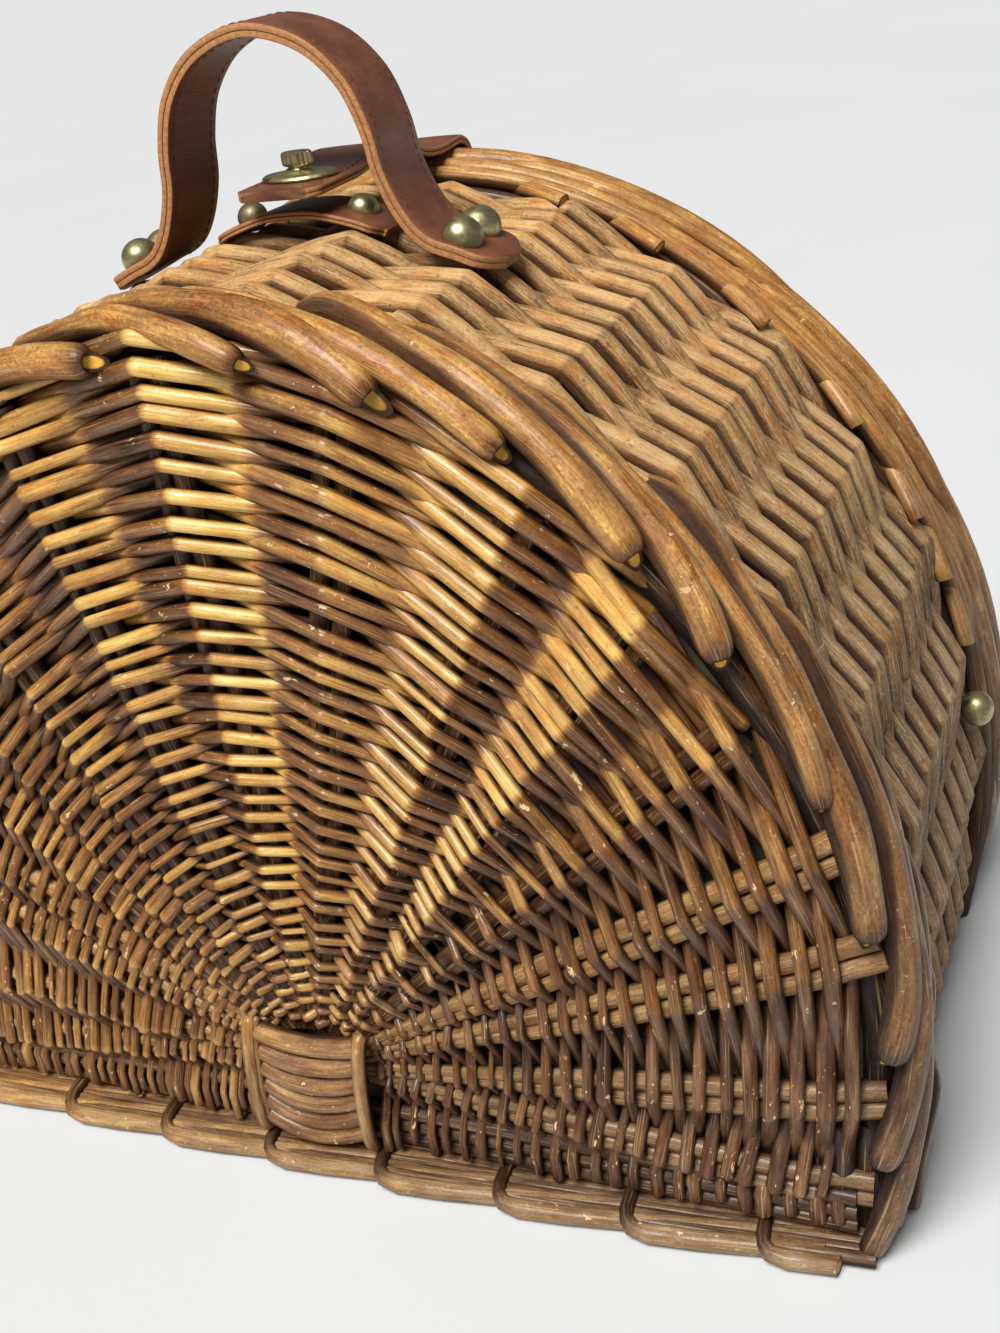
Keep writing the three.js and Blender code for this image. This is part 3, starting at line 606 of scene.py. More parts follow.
def row_line(fan, number):
    """One weaver: its points, how proud and how pale each is, and which lie behind a stake."""
    places, angles, signs, whole = fan.crossings(number)
    gaps = np.diff(places, axis=0)
    spans = np.hypot(gaps[:, 0], gaps[:, 1])
    room = np.concatenate([spans[:1], (spans[1:] + spans[:-1]) / 2, spans[-1:]])
    rise = np.clip(0.34 * room, 2.6, 5.4) * signs * luck.normal(1.0, 0.05, len(places))
    rise -= 1.2 * fade(number / FAN_ROWS, 0.86, 1.0)
    if not whole:
        rise[0] = -3.4
    # The flanks of each bend are made paler or darker by the way they face: painted light and shade.
    before, after = flank_light(angles, -1.0), flank_light(angles, 1.0)
    # The crests of the bends on the left are made paler: a painted highlight.
    pale_crest = 0.42 * fade(np.degrees(angles), 95.0, 120.0) * (signs > 0)
    line, proud, stain, rests = [], [], [], []
    for k, span in enumerate(spans):
        kink = min(0.9, 0.12 * span)
        if 1 < k < len(spans) - 2 and signs[k] < 0:
            rests.append(len(line) + 1)
        for mark in (0.0, kink, span * 0.45, span * 0.55, span - kink):
            level = rise[k] + (rise[k + 1] - rise[k]) * mark / span
            place = places[k] + gaps[k] * mark / span
            line.append((place[0], fan.plane + fan.facing * level, place[1]))
            proud.append(0.5 + level / WEAVE_DEPTH)
            flank = after[k] if mark < span / 2 else before[k + 1]
            stain.append((before[k] + after[k]) / 2 + pale_crest[k] if mark == 0 else flank)
    last = np.array([places[-1, 0], fan.plane + fan.facing * rise[-1] * 0.95, places[-1, 1]])
    tail = np.array([0.0, 0.0, -luck.uniform(5.0, 9.5)])
    start = tail if whole else np.array([0.0, -fan.facing, 0.0])
    line = np.vstack([line[0] + start, line, last, last + tail])
    proud = np.concatenate([[0.3], proud, [0.5 + rise[-1] / WEAVE_DEPTH, 0.3]])
    stain = np.concatenate([stain[:1], stain, stain[-1:], stain[-1:]])
    return line, proud, stain, rests


print("a row is palest near", FLANK_LIGHT_ANGLES[FLANK_LIGHT_LEVELS.index(1.0)], "degrees")

# %% Weavers and stakes
def lay_lengths(rods, line, thick, proud, stain, out, joins, uneven, taper, tones):
    """Lays one row in a few lengths, each with its own size and tone, and thinner towards its end."""
    thick = np.broadcast_to(thick, len(line))
    out = np.broadcast_to(out, line.shape)
    for first, last in zip([0, *joins], [*joins, len(line) - 1]):
        part = slice(first, last + 1)
        size = luck.normal(1.0, uneven) * np.linspace(1 + taper, 1 - taper, last + 1 - first)
        tone = np.clip(luck.normal(0.5, tones), 0, 1)
        rods.add(line[part], thick[part] * size, tone, proud[part], stain=stain[part], out=out[part])


def weave_fan(rods, fan):
    for number in range(FAN_ROWS):
        line, proud, stain, rests = row_line(fan, number)
        spread = np.hypot(line[:, 0], line[:, 2] - fan.hub[1])
        thick = np.clip(1.3 + spread * 0.0052, 1.45, 2.6)
        line[:, 1] += fan.facing * luck.normal(0.0, 0.25)
        joins = sorted(luck.choice(rests, min(2, len(rests)), replace=False))
        lay_lengths(rods, line, thick, proud, stain, fan.out, joins, uneven=0.15, taper=0.08, tones=0.24)


def stake_fan(rods, fan):
    for angle, inner, outer in zip(fan.angles, fan.inner, fan.outer):
        way = np.array([np.cos(angle), np.sin(angle)])
        side = np.array([-way[1], way[0]])
        # Stakes near upright lie behind the weave and get the darkest tone: painted shade.
        low = fade(abs(90.0 - np.degrees(angle)), 46.0, 58.0)
        for offset in (-3.3, 3.3):
            reach = np.linspace(inner - 5.0, outer - 9.0 + 17.0 * low, 20)
            lane = offset * np.clip((reach - inner) / 90.0, 0.35, 1.0)
            flat = fan.hub + reach[:, None] * way + lane[:, None] * side
            sink = 3.0 * fade(reach - outer, -10.0, 4.0)
            level = np.clip(flat[:, 1], fan.floor + 3.0, None)
            thick = luck.normal(3.25, 0.12) * np.clip(0.5 + (reach - inner) / 150.0, 0.5, 1.0)
            tone = luck.uniform(0.3, 0.7) * low
            line = points(flat[:, 0], fan.plane - fan.facing * sink, level)
            rods.add(line, thick, tone, 0.2 + 0.3 * low, stain=0.1 + 0.55 * low, out=fan.out)
    for level in (-3.6, 1.9, 7.2):
        line = points(np.linspace(-176.0, 176.0, 12), fan.plane, fan.floor + level)
        rods.add(line, 2.8, tone=0.3, proud=0.2, stain=0.2, out=fan.out)


print("rows and stakes can be laid")

# %% Front weave
stake_bundle = Rods()
stake_fan(stake_bundle, front_fan)
stake_bundle.make("front_stakes", border_willow, 8, "case", "border_willow")
front_rods = Rods()
weave_fan(front_rods, front_fan)
front_rods.make("front_weave", varnished_willow, 8, "case", "varnished_willow", "front_panel")

# %% [markdown]
# ## The hub
# The stakes start from a hub of six rods laid on top of each other, held by a band at each end.

# %% Hub
HUB_REACH = 19.5


def hub_rods(rods, hub_z, face, facing):
    x = np.linspace(-HUB_REACH, HUB_REACH, 15)
    bow = 1 - (x / HUB_REACH) ** 2
    for k in range(6):
        bulge = 3.0 - 0.25 * (k - 2.5) ** 2
        level = hub_z + 17.0 - 7.0 * k - (1.6 + 0.7 * k) * bow
        line = points(HUB_X + x - 0.7 * k + 1.8, face + facing * bulge * bow, level)
        tone = luck.uniform(0.3, 0.7)
        rods.add(line, luck.normal(3.65, 0.08), tone, 0.5 + 0.3 * bow, stain=0.34, out=(0, facing, 0))


def hub_bands(rods, reach, hub_z, face, facing):
    turn = np.radians(np.linspace(-100.0, 100.0, 25))
    y = face + facing * 4.4 * np.cos(turn * 0.85)
    z = hub_z - 1.5 + 23.0 * np.sin(turn * 0.9)
    for side in (-1, 1):
        line = points(HUB_X + side * reach + 2.0 * np.sin(turn * 0.9), y, z)
        rods.add(line, 2.3, tone=0.75, proud=0.6, out=(0, facing, 0))
        rods.add(line - [side * 1.9, facing * 1.2, 0], 1.5, tone=0.5, proud=0.4, out=(0, facing, 0))


hub_bundle = Rods()
hub_rods(hub_bundle, FRONT_HUB_Z, face=-99.9, facing=-1.0)
hub_bands(hub_bundle, 20.8, FRONT_HUB_Z, face=-100.2, facing=-1.0)
hub_nodes = ["fan_hub", "hub_band_left", "hub_band_right"]
hub_bundle.make("hub", varnished_willow, 12, "case", "varnished_willow", *hub_nodes)

# %% [markdown]
# ## The barrel
# The side wall is woven the other way round: stakes run from front to back, and thick dry rods run
# over the arch in tight rows. Each row bends sharply at every stake, which makes the zigzag.

# %% Barrel weave
BARREL_RISE = 5.3
BARREL_THICK = 3.8
BARREL_MID = 3.2 + BARREL_THICK + BARREL_RISE
BEND_MARKS = np.array([0.0, 0.022, 0.26, 0.48, 0.52, 0.74, 0.978])
BEND_LEVELS = np.array([1.0, 0.956, 0.48, 0.04, -0.04, -0.48, -0.956])


def barrel_row(number, y):
    stakes = np.arange(-10, 9)[:, None]
    signs = np.where((number + stakes) % 2, 1.0, -1.0)
    s = (stakes + 0.5) * STAKE_PITCH + BEND_MARKS * STAKE_PITCH
    depth = BARREL_MID - BEND_LEVELS * signs * BARREL_RISE
    # Flanks facing away from the crown are darker and those facing it paler: painted light and shade.
    facet_shade = np.where(s > 0, 1.0, -1.0) * np.where(BEND_LEVELS > 0, 1.0, -1.0) * (BEND_MARKS > 0)
    crease = 0.3 * ((BEND_MARKS == 0) & (signs > 0))
    stain = 0.58 - crease - 0.13 * facet_shade * fade(np.abs(s), 0.0, 60.0)
    kept = np.abs(s) < HALF_LENGTH - 4.0
    return s[kept], depth[kept] + luck.normal(0.0, 0.3), y + luck.normal(0.0, 0.15), stain[kept]


barrel_rods = Rods()
for number in range(21):
    s, depth, y, stain = barrel_row(number, -78.6 + 7.4 * number)
    line = on_arch(s, depth, y)
    proud = np.clip(0.5 + (BARREL_MID - depth) / BARREL_RISE * 0.5, 0, 1)
    out = line - on_arch(s, depth + 1.0, y)
    joins = sorted(luck.choice(np.arange(12, len(line) - 12), 2, replace=False))
    uneven = 0.22 / BARREL_THICK
    lay_lengths(barrel_rods, line, BARREL_THICK, proud, stain, out, joins, uneven, taper=0.05, tones=0.25)
for k in range(-9, 9):
    line = on_arch((k + 0.5) * STAKE_PITCH, BARREL_MID, np.linspace(-84.0, 78.0, 10))
    barrel_rods.add(line, 2.6, tone=0.3, proud=0.2)
barrel_rods.make("barrel_weave", dry_willow, 10, "case", "dry_willow", "barrel_wall")

# %% [markdown]
# ## The base
# The base is hidden when the basket stands. It is a plain weave, kept inside the base's own box.

# %% Base weave
BASE_Z = 6.4
BASE_PITCH = 17.0
cells = np.arange(-10, 11)
base_rods = Rods()
for number in range(20):
    level = np.where((cells + number) % 2, 1.0, -1.0)
    line = points(cells * BASE_PITCH, -84.0 + 7.9 * number, BASE_Z + 2.6 * level)
    base_rods.add(line, 2.9, np.clip(luck.normal(0.45, 0.15), 0, 1), 0.5 - 0.3 * level)
for x in cells * BASE_PITCH:
    base_rods.add(points(x, np.linspace(-85.0, 72.0, 8), BASE_Z), 2.2, tone=0.35, proud=0.3)
base_rods.make("base_weave", dry_willow, 8, "case", "dry_willow", "base_panel")

# %% [markdown]
# ## The rolled border
# Along the front rim the stake ends are bent down one after the other. Each starts on the barrel, rolls
# over the rim as it runs to the right, and ends on the front in a slanting cut that shows the pith.

# %% Border rod
TIP_MARKS = [0.95, 0.965, 0.977, 0.986, 0.993, 0.998, 1.0]
TIP_GIRTH = [1.0, 0.98, 0.94, 0.86, 0.76, 0.64, 0.52]


def over_rim(s, lap, depth, y, roll, facing):
    """A place lap mm across the rim: less than 0 lies on the barrel, more than 0 rolls over to the face."""
    turn = np.clip(lap, 0, None) / roll
    flat = np.clip(-lap, 0, None)
    return on_arch(s, depth - roll * np.cos(turn), y + facing * (roll * np.sin(turn) - flat))


def border_rod(rods, tip, length, laps, core, thick, foot):
    depth_at, y, roll, facing = core
    share = np.concatenate([np.linspace(0.0, TIP_MARKS[0], 34), TIP_MARKS[1:]])
    s = tip - length * (1 - share)
    depth = depth_at(s)
    sway = luck.normal(0.0, 1.8) * np.sin(share * np.pi) + 0.8 * np.sin(share * 5 + tip)
    lap = laps[0] + (laps[1] - laps[0]) * share + sway
    lift = luck.normal(0.0, 0.5) - luck.uniform(0.2, 1.4) * np.sin(fade(share, 0.3, 1.0) * np.pi)
    tuck = 7.0 * fade(share, 0.14, 0.0) ** 2
    line = over_rim(s, lap, depth + lift + tuck, y, roll, facing)
    girth = np.interp(share, [0.0, 0.1, 0.6, *TIP_MARKS], [0.75, 1.02, 1.04, *TIP_GIRTH])
    size = thick * luck.normal(0.97, 0.1) * girth
    size = size * (1 + 0.06 * np.sin(share * luck.uniform(8, 22) + luck.uniform(0, 6)))
    proud = 0.6 + 0.15 * np.sin(share * 9 + tip) - 0.45 * fade(share, 0.93, 1.0)
    inside = (np.abs(s) < HALF_LENGTH) & (line[:, 2] > foot)
    if inside.sum() < 5:
        return
    out = line - on_arch(s, depth, y)
    out = out / np.linalg.norm(out, axis=1)[:, None]
    lean = luck.uniform(1.2, 1.9) if inside[-1] else 0.3
    slant = -out[inside][-1] * lean + luck.normal(0.0, 0.15, 3)
    heart = luck.choice([0.5, 0.9, 1.0])
    tone = luck.uniform(0.15, 0.65)
    stain = np.interp(share, [0.0, 0.955, 0.99], [0.5, 0.5, 0.08])[inside]
    rods.add(line[inside], size[inside], tone, proud[inside], slant, heart, stain, out[inside])


print("a border rod narrows to", TIP_GIRTH[-1], "of its size at the tip")

# %% Front border
FRONT_TIPS = [
    (-386, 11), (-346, 10), (-305, 9), (-264, 8), (-222, 8), (-182, 8), (-141, 9), (-100, 11), (-60, 13),
    (-18, 15), (35, 14), (75, 13.5), (112, 10.5), (155, 9), (190, 9), (239, 8), (281, 8.5), (322, 10),
    (362, 11), (402, 11), (442, 11), (482, 11),
]
BORDER_Y = -88.5
BORDER_ROLL = 10.4
BORDER_THICK = 4.55
FLOOR_GAP = 3.6


def front_depth(s):
    """How deep the heart of the border lies: it hangs lower left of the crown."""
    return 14.0 + 5.0 * np.exp(-((s + 30.0) / 95.0) ** 2)


border_bundle = Rods()
front_core = (front_depth, BORDER_Y, BORDER_ROLL, -1.0)
for tip, lap in FRONT_TIPS:
    start = np.interp(abs(tip), [90.0, 230.0], [-11.0, -26.0])
    length = np.interp(abs(tip), [90.0, 230.0], [106.0, 138.0]) + luck.normal(0.0, 4.0)
    border_rod(border_bundle, tip, length, (start, lap), front_core, BORDER_THICK, FLOOR_GAP)
s = along_arch(8.0, 120)
border_bundle.add(on_arch(s, front_depth(s) - 1.0, -86.0), 4.6, **HIDDEN_SHADE)
for side in (-1, 1):
    for x, y in ((170.0, -90.0), (177.0, -87.0), (163.0, -88.0)):
        line = points(side * np.array([x, x + 1.0, x + 2.5]), y, [3.0, 20.0, 46.0])
        border_bundle.add(line, 3.9, out=(0, -1, 0), **HIDDEN_SHADE)
border_bundle.make("front_border", border_willow, 14, "case", "border_willow", *named("front_border_"))

# %% [markdown]
# ## The foot border
# Along the front foot, each stake end steps forward over its neighbour, turns to the right and runs on
# under the next one. Thinner rods fill the step behind it, and a straight rail lies behind those.

# %% Foot border
FOOT_X = [0.0, 0.1, 0.5, 1.4, 3.6, 9.0, 24.0, 43.0, 62.0, 86.0, 105.0, 126.0]
FOOT_Y = [-92.0, -96.0, -100.6, -103.6, -105.6, -106.2, -105.2, -102.9, -100.2, -97.4, -94.6, -92.4]
FOOT_Z = [5.6, 6.4, 6.2, 5.2, 3.9, 3.3, 3.2, 3.1, 3.1, 3.1, 3.1, 3.1]
# A step is darker where it comes out from under its neighbour, and lighter on its outer run: painted shade
# and light.
FOOT_PROUD = np.array([0.1, 0.1, 0.15, 0.3, 0.6, 0.8, 0.75, 0.6, 0.45, 0.4, 0.35, 0.3])
FOOT_GIRTH = np.interp(np.arange(12), [0, 3, 5, 11], [0.74, 0.8, 1.06, 0.92])
FOOT_STAIN_AND_SHADE = np.interp(np.arange(12), [0, 3, 5, 11], [0.0, 0.05, 0.95, 0.7])


def foot_bow(x):
    """The foot border stands out a little more in the middle than at its ends."""
    return -2.6 * (1 - (x / 150.0) ** 2)


def foot_step(rods, x):
    line = points(FOOT_X, FOOT_Y, FOOT_Z) + [x, 0, 0]
    line[:, 1] += foot_bow(np.clip(line[:, 0], -190, 190)) * fade(line[:, 1], -92.0, -100.0)
    size = luck.normal(2.95, 0.1) * FOOT_GIRTH
    shown = (line[:, 0] > -188.0) & (line[:, 0] < 181.0)
    if shown.sum() > 2:
        looks = {"slant": (0.5, 0.3, 0), "stain": FOOT_STAIN_AND_SHADE[shown], "out": (0, -0.6, 0.8)}
        rods.add(line[shown], size[shown], luck.uniform(0.3, 0.7), FOOT_PROUD[shown], **looks)


def foot_fill(rods, x):
    # The fill rods behind the step get a darker stain: painted shade.
    tone = luck.uniform(0.3, 0.6)
    run = np.linspace(x + 1.5, min(x + 44.0, 182.0), 8)
    if -180.0 <= run[0] <= 176.0:
        for inset in (3.6, 6.5, 9.4, 12.3):
            y = -106.2 + inset + foot_bow(run) + 0.05 * (run - x)
            line = points(run, y, 3.7 - 0.012 * (run - x))
            rods.add(line, 2.35, tone + luck.normal(0, 0.06), 0.3, stain=0.36)


foot_bundle = Rods()
for x in 19.2 + np.arange(-7, 4) * STAKE_PITCH:
    foot_step(foot_bundle, x)
    foot_fill(foot_bundle, x)
foot_bundle.add(points(np.linspace(-184.0, 184.0, 20), -91.0, 3.2), 2.9, tone=0.35, proud=0.3)
foot_bundle.make("foot_border", border_willow, 12, "case", "border_willow", *named("foot_"))

# %% [markdown]
# ## The mouth
# The back of the barrel ends in two arched rods that the lid closes against. Cut stake ends lie between
# the last rows, and a straight rod joins the feet.

# %% Mouth
STUB_ANGLES = [76.8, 67.0, 55.0, 42.0, 31.0, 24.0, 16.5]
HINGE_Z = 19.0
foot_run = np.linspace(-176.0, 176.0, 16)
mouth_bundle = Rods()
for depth, y in ((5.6, 77.9), (5.0, 85.2)):
    for first, last in ((-HALF_LENGTH + 0.4, -70.0), (-82.0, 128.0), (118.0, HALF_LENGTH - 0.4)):
        s = np.linspace(first, last, 44)
        line = on_arch(s, depth + 0.5 * np.sin(s * 0.04 + y), y + 0.4 * np.sin(s * 0.03 + depth))
        mouth_bundle.add(line, luck.normal(3.5, 0.08), luck.uniform(0.3, 0.65))
for depth, y in ((12.0, 77.5), (11.4, 84.3)):
    mouth_bundle.add(on_arch(along_arch(4.0, 110), depth, y), 3.7, **HIDDEN_SHADE)
lean = np.arctan2(outline_z - SPRING_Z, outline_x)
stub_s = np.interp(-np.radians(STUB_ANGLES), -lean, outline_s)
share = np.linspace(0, 1, 8)
for s in [*stub_s, *-stub_s]:
    line = on_arch(s - 16 + 27 * share, 7.4 - 3.4 * share, 82.0 - 14.5 * share)
    mouth_bundle.add(line, 2.9, luck.uniform(0.3, 0.7), slant=(0.1, -0.3, 0.2), stain=0.6)
mouth_bundle.add(points(foot_run, 83.0, HINGE_Z), 3.4, **PLAIN)
mouth_nodes = ["mouth_rod_1", "mouth_rod_2", "rear_base_rod"]
mouth_bundle.make("mouth", border_willow, 12, "case", "border_willow", *mouth_nodes)

# %% [markdown]
# ## The lid
# The lid repeats the front: a fan weave, a hub and a rolled border, on its own hinge rod.

# %% Lid weave
lid_rods = Rods()
stake_fan(lid_rods, lid_fan)
weave_fan(lid_rods, lid_fan)
hub_rods(lid_rods, LID_HUB_Z, face=101.0, facing=1.0)
hub_bands(lid_rods, 20.6, LID_HUB_Z, face=101.0, facing=1.0)
lid_rods.make("lid_weave", varnished_willow, 8, "lid", "varnished_willow", "lid_panel", "lid_hub")

# %% Lid border
LID_DEPTH = 11.0


def lid_depth(s):
    return np.full_like(s, LID_DEPTH)


lid_bundle = Rods()
lid_core = (lid_depth, 97.2, 7.2, 1.0)
for tip in np.arange(-350.0, 720.0, 108.0):
    tip = tip + luck.normal(0, 3.0)
    border_rod(lid_bundle, tip, luck.uniform(290, 310), (-9.0, 12.5), lid_core, 3.9, 24.0)
s = along_arch(26.0, 120)
lid_bundle.add(on_arch(s, LID_DEPTH - 0.4, 96.6), 4.4, **HIDDEN_SHADE)
lid_bundle.add(on_arch(s, LID_DEPTH - 2.0, 91.4), 3.0, **HIDDEN_SHADE)
lid_bundle.add(points(foot_run, 98.0, HINGE_Z), 3.4, **PLAIN)
lid_nodes = ["lid_hoop_1", "lid_hoop_2", "lid_hoop_3", "lid_hinge_rod"]
lid_bundle.make("lid_border", border_willow, 12, "lid", "border_willow", *lid_nodes)

# %% [markdown]
# ## Hinge bindings
# The lid hangs on two bindings of split cane, wound round its foot rod and the rod of the mouth.

# %% Hinge bindings
LOOP_ROUND = 4.6
LOOP_STRAIGHT = 15.0
LOOP_Y = 90.5

half_loop = np.pi * LOOP_ROUND + LOOP_STRAIGHT
wound = np.linspace(0.0, 4.0, 129)
phase = (wound % 1.0) * 2 * half_loop
side = np.where(phase < half_loop, 1.0, -1.0)
walk = phase % half_loop
turn = np.clip(walk - LOOP_STRAIGHT, 0.0, None) / LOOP_ROUND
loop_y = LOOP_Y + side * (np.minimum(walk, LOOP_STRAIGHT) - LOOP_STRAIGHT / 2 + LOOP_ROUND * np.sin(turn))
loop_z = HINGE_Z + side * LOOP_ROUND * np.cos(turn)
binding = Rods()
for middle in (-95.0, 95.0):
    binding.add(points(middle - 4.4 + 2.2 * wound, loop_y, loop_z), 1.15, tone=0.6, proud=0.6)
loop_nodes = ["hinge_loop_left", "hinge_loop_right"]
binding.make("hinge_bindings", dry_willow, 8, "case", "dry_willow", *loop_nodes)

# %% [markdown]
# ## The lining
# Olive cloth is stretched behind the front and shows through the gaps of the weave. It is one flat sheet
# with a little slack, so a fan of points with a small ripple is enough. The shader draws its plain weave.

# %% Lining cloth
def cloth():
    finish = Finish("lining_cloth", Sheen_Weight=0.25, Sheen_Roughness=0.6)
    spot = finish.place()
    warp = finish.node("ShaderNodeTexWave", {"bands_direction": "X"}, {"Vector": spot, "Scale": 420.0})
    weft = finish.node("ShaderNodeTexWave", {"bands_direction": "Z"}, {"Vector": spot, "Scale": 420.0})
    worn = finish.noise(spot, 38.0, 4.0)
    thread = warp * 0.5 + weft * 0.5
    light = thread * 0.4 + worn * 0.6
    # The cloth is olive, and its colour is darkened further to stand for the shade behind the weave: painted
    # shade.
    colour = finish.ramp(light, (0.2, (0.034, 0.030, 0.010)), (0.8, (0.130, 0.112, 0.042)))
    normal = finish.bump(thread, 0.5, 0.0004)
    return finish.wear(Base_Color=colour, Roughness=0.82 + worn * 0.1, Normal=normal)


def solid(name, spots, faces, finish, sharp=None):
    mesh = drawn(name, spots, [], faces)
    mesh.materials.append(finish)
    mesh.shade_smooth()
    if sharp:
        mesh.set_sharp_from_angle(angle=math.radians(sharp))
    return in_scene(name, mesh)


lining_cloth = cloth()
print("cloth made")

# %% Lining
LINING_Y = -85.0
LINING_FOOT = 13.2
LINING_RINGS = 14
rim = on_arch(along_arch(14.0, 97), 14.5, LINING_Y)
foot = points(np.linspace(rim[-1, 0], rim[0, 0], 32)[1:-1], LINING_Y, LINING_FOOT)
rim[:, 2] = np.maximum(rim[:, 2], LINING_FOOT)
rim = np.vstack([rim, foot])
heart = np.array([0.0, LINING_Y, 120.0])
spots = [heart]
for share in np.linspace(1 / LINING_RINGS, 1.0, LINING_RINGS):
    ring = heart + (rim - heart) * share
    ring[:, 1] += 0.35 * np.sin(ring[:, 0] * 0.11) * np.sin(ring[:, 2] * 0.07) * (1 - share ** 6)
    spots.extend(ring)
around = len(rim)
faces = [(0, 1 + k, 1 + (k + 1) % around) for k in range(around)]
for low in range(1, 1 + (LINING_RINGS - 1) * around, around):
    high = low + around
    faces += [(low + k, high + k, high + (k + 1) % around, low + (k + 1) % around) for k in range(around)]
lining = solid("lining", spots, faces, lining_cloth)
hand_over(lining, "case", "lining_cloth", "lining_front")

# %% [markdown]
# ## Leather
# The straps are two layers of leather, brown outside, tan where the edge is cut, with a dark line where
# the layers meet. A strap is a section swept along a path. The section is drawn from a list of points because
# its edge has a groove, and every point keeps its place on the strap so that the grain follows the bend.

# %% Leather finish
def hide():
    finish = Finish("leather", Coat_Roughness=0.3, Specular_IOR_Level=0.45)
    lay = finish.stored("lay", "Vector")
    edge, seam, under = [finish.stored(key) for key in ("edge", "seam", "under")]
    feature = {"feature": "DISTANCE_TO_EDGE"}
    pores = finish.node("ShaderNodeTexVoronoi", feature, {"Vector": lay, "Scale": 1.5})
    cloud = finish.noise(lay, 0.09, 4.0)
    crease = finish.noise(finish.stretch(lay, (0.05, 0.42, 0.2)), 1.0, 5.0, 0.6)
    aside = finish.node("ShaderNodeMath", {"operation": "ABSOLUTE"}, {0: finish.axis(lay, "X")})
    light = cloud * 0.8 + crease * 0.3 + finish.mask(aside, 9.0, 14.0) * 0.12
    browns = [(0.25, (0.070, 0.019, 0.007)), (0.52, (0.140, 0.041, 0.016)), (0.85, (0.230, 0.080, 0.031))]
    outside = finish.ramp(light, *browns)
    light = cloud * 0.5 + crease * 0.6
    inside = finish.ramp(light, (0.3, (0.050, 0.015, 0.008)), (0.75, (0.150, 0.050, 0.024)))
    fuzz = finish.noise(lay, 0.9, 4.0, 0.7)
    raw = finish.ramp(fuzz, (0.3, (0.300, 0.120, 0.040)), (0.7, (0.560, 0.270, 0.100)))
    colour = finish.blend(edge, finish.blend(under, outside, inside), raw)
    height = finish.mask(pores, 0.0, 0.25) * 0.3 + crease * (0.5 + under * 0.8)
    return finish.wear(
        Base_Color=finish.blend(seam, colour, (0.060, 0.022, 0.010)),
        Roughness=0.40 + edge * 0.3 + cloud * 0.16,
        Coat_Weight=0.22 * (1 - edge) * (1 - under * 0.6),
        Normal=finish.bump(height, 0.35, 0.0005),
    )


leather = hide()
print("leather made")

# %% Strap section
def strap_section(half, thick):
    """Points round a strap: across, up, and how much each belongs to the edge, the seam and the underside."""
    top = thick / 2
    across = np.linspace(-half + 0.5, half - 0.5, 9)
    upper = [(u, top + 0.2 * (1 - (u / half) ** 2), 0.0, 0.0, 0.0) for u in across]
    rim = [
        (half - 0.12, top - 0.22, 0.7, 0.0, 0.0),
        (half, top * 0.5, 1.0, 0.0, 0.0),
        (half - 0.15, 0.16, 1.0, 0.2, 0.0),
        (half - 0.65, 0.0, 1.0, 1.0, 0.0),
        (half - 0.15, -0.16, 1.0, 0.2, 0.0),
        (half, -top * 0.5, 1.0, 0.0, 0.0),
        (half - 0.12, -top + 0.22, 0.7, 0.0, 0.6),
    ]
    lower = [(u, -top, 0.0, 0.0, 1.0) for u in across[::-1]]
    return np.array(upper + rim + lower + [(-u, v, e, s, n) for u, v, e, s, n in rim[::-1]])


def round_ends(half, nose, blunt):
    def half_at(mark, length):
        near = min(mark, length - mark) / nose
        return half if near >= 1 else max(blunt, half * math.sqrt(max(0.0, 1 - (1 - near) ** 2.2)))

    return half_at


print("a section has", len(strap_section(10.0, 3.0)), "points")

# %% Strap sweep
STRAP_SHARES = [np.linspace(0, 0.06, 10), np.linspace(0.06, 0.94, 84)[1:-1], np.linspace(0.94, 1, 10)]


def smooth_path(knots, share):
    """An even walk along a smooth curve through the knots, and its length."""
    knots = np.asarray(knots, float)
    padded = np.vstack([2 * knots[0] - knots[1], knots, 2 * knots[-1] - knots[-2]])
    walk = []
    for a, b, c, d in zip(padded, padded[1:], padded[2:], padded[3:]):
        for t in np.linspace(0, 1, 24, endpoint=False):
            walk.append(b + 0.5 * t * (c - a + t * (2 * a - 5 * b + 4 * c - d + t * (3 * (b - c) + d - a))))
    walk = np.array(walk + [knots[-1]])
    size = np.concatenate([[0], np.cumsum(np.linalg.norm(np.diff(walk, axis=0), axis=1))])
    return points(*[np.interp(share * size[-1], size, walk[:, k]) for k in range(3)]), size[-1]


def tube_faces(rows, around):
    """Quads between neighbouring rings, and a cap at each end."""
    faces = [tuple(range(around))[::-1], tuple(range((rows - 1) * around, rows * around))]
    for low in range(0, (rows - 1) * around, around):
        high = low + around
        faces += [(low + k, low + (k + 1) % around, high + (k + 1) % around, high + k) for k in range(around)]
    return faces


def strap(name, body, node, knots, wide, half_at, thick):
    share = np.concatenate(STRAP_SHARES)
    line, length = smooth_path(knots, share)
    ups = np.cross(wide, np.gradient(line, axis=0))
    ups = ups / np.linalg.norm(ups, axis=1)[:, None]
    section = np.array([strap_section(half_at(mark, length), thick) for mark in share * length])
    across, height = section[..., :1], section[..., 1:2]
    spots = line[:, None] + across * np.asarray(wide, float) + height * ups[:, None]
    marks = np.broadcast_to((share * length)[:, None, None], across.shape)
    faces = tube_faces(*section.shape[:2])
    piece = solid(name, spots.reshape(-1, 3), faces, leather, sharp=50)
    store(piece.data, "lay", np.concatenate([across, marks, height], axis=2).reshape(-1, 3))
    for column, key in ((2, "edge"), (3, "seam"), (4, "under")):
        store(piece.data, key, section[..., column].ravel())
    print(name, "is cut", round(length), "mm long")
    hand_over(piece, body, "leather", node)
    return line, ups


print("a strap has", sum(len(part) for part in STRAP_SHARES), "sections")

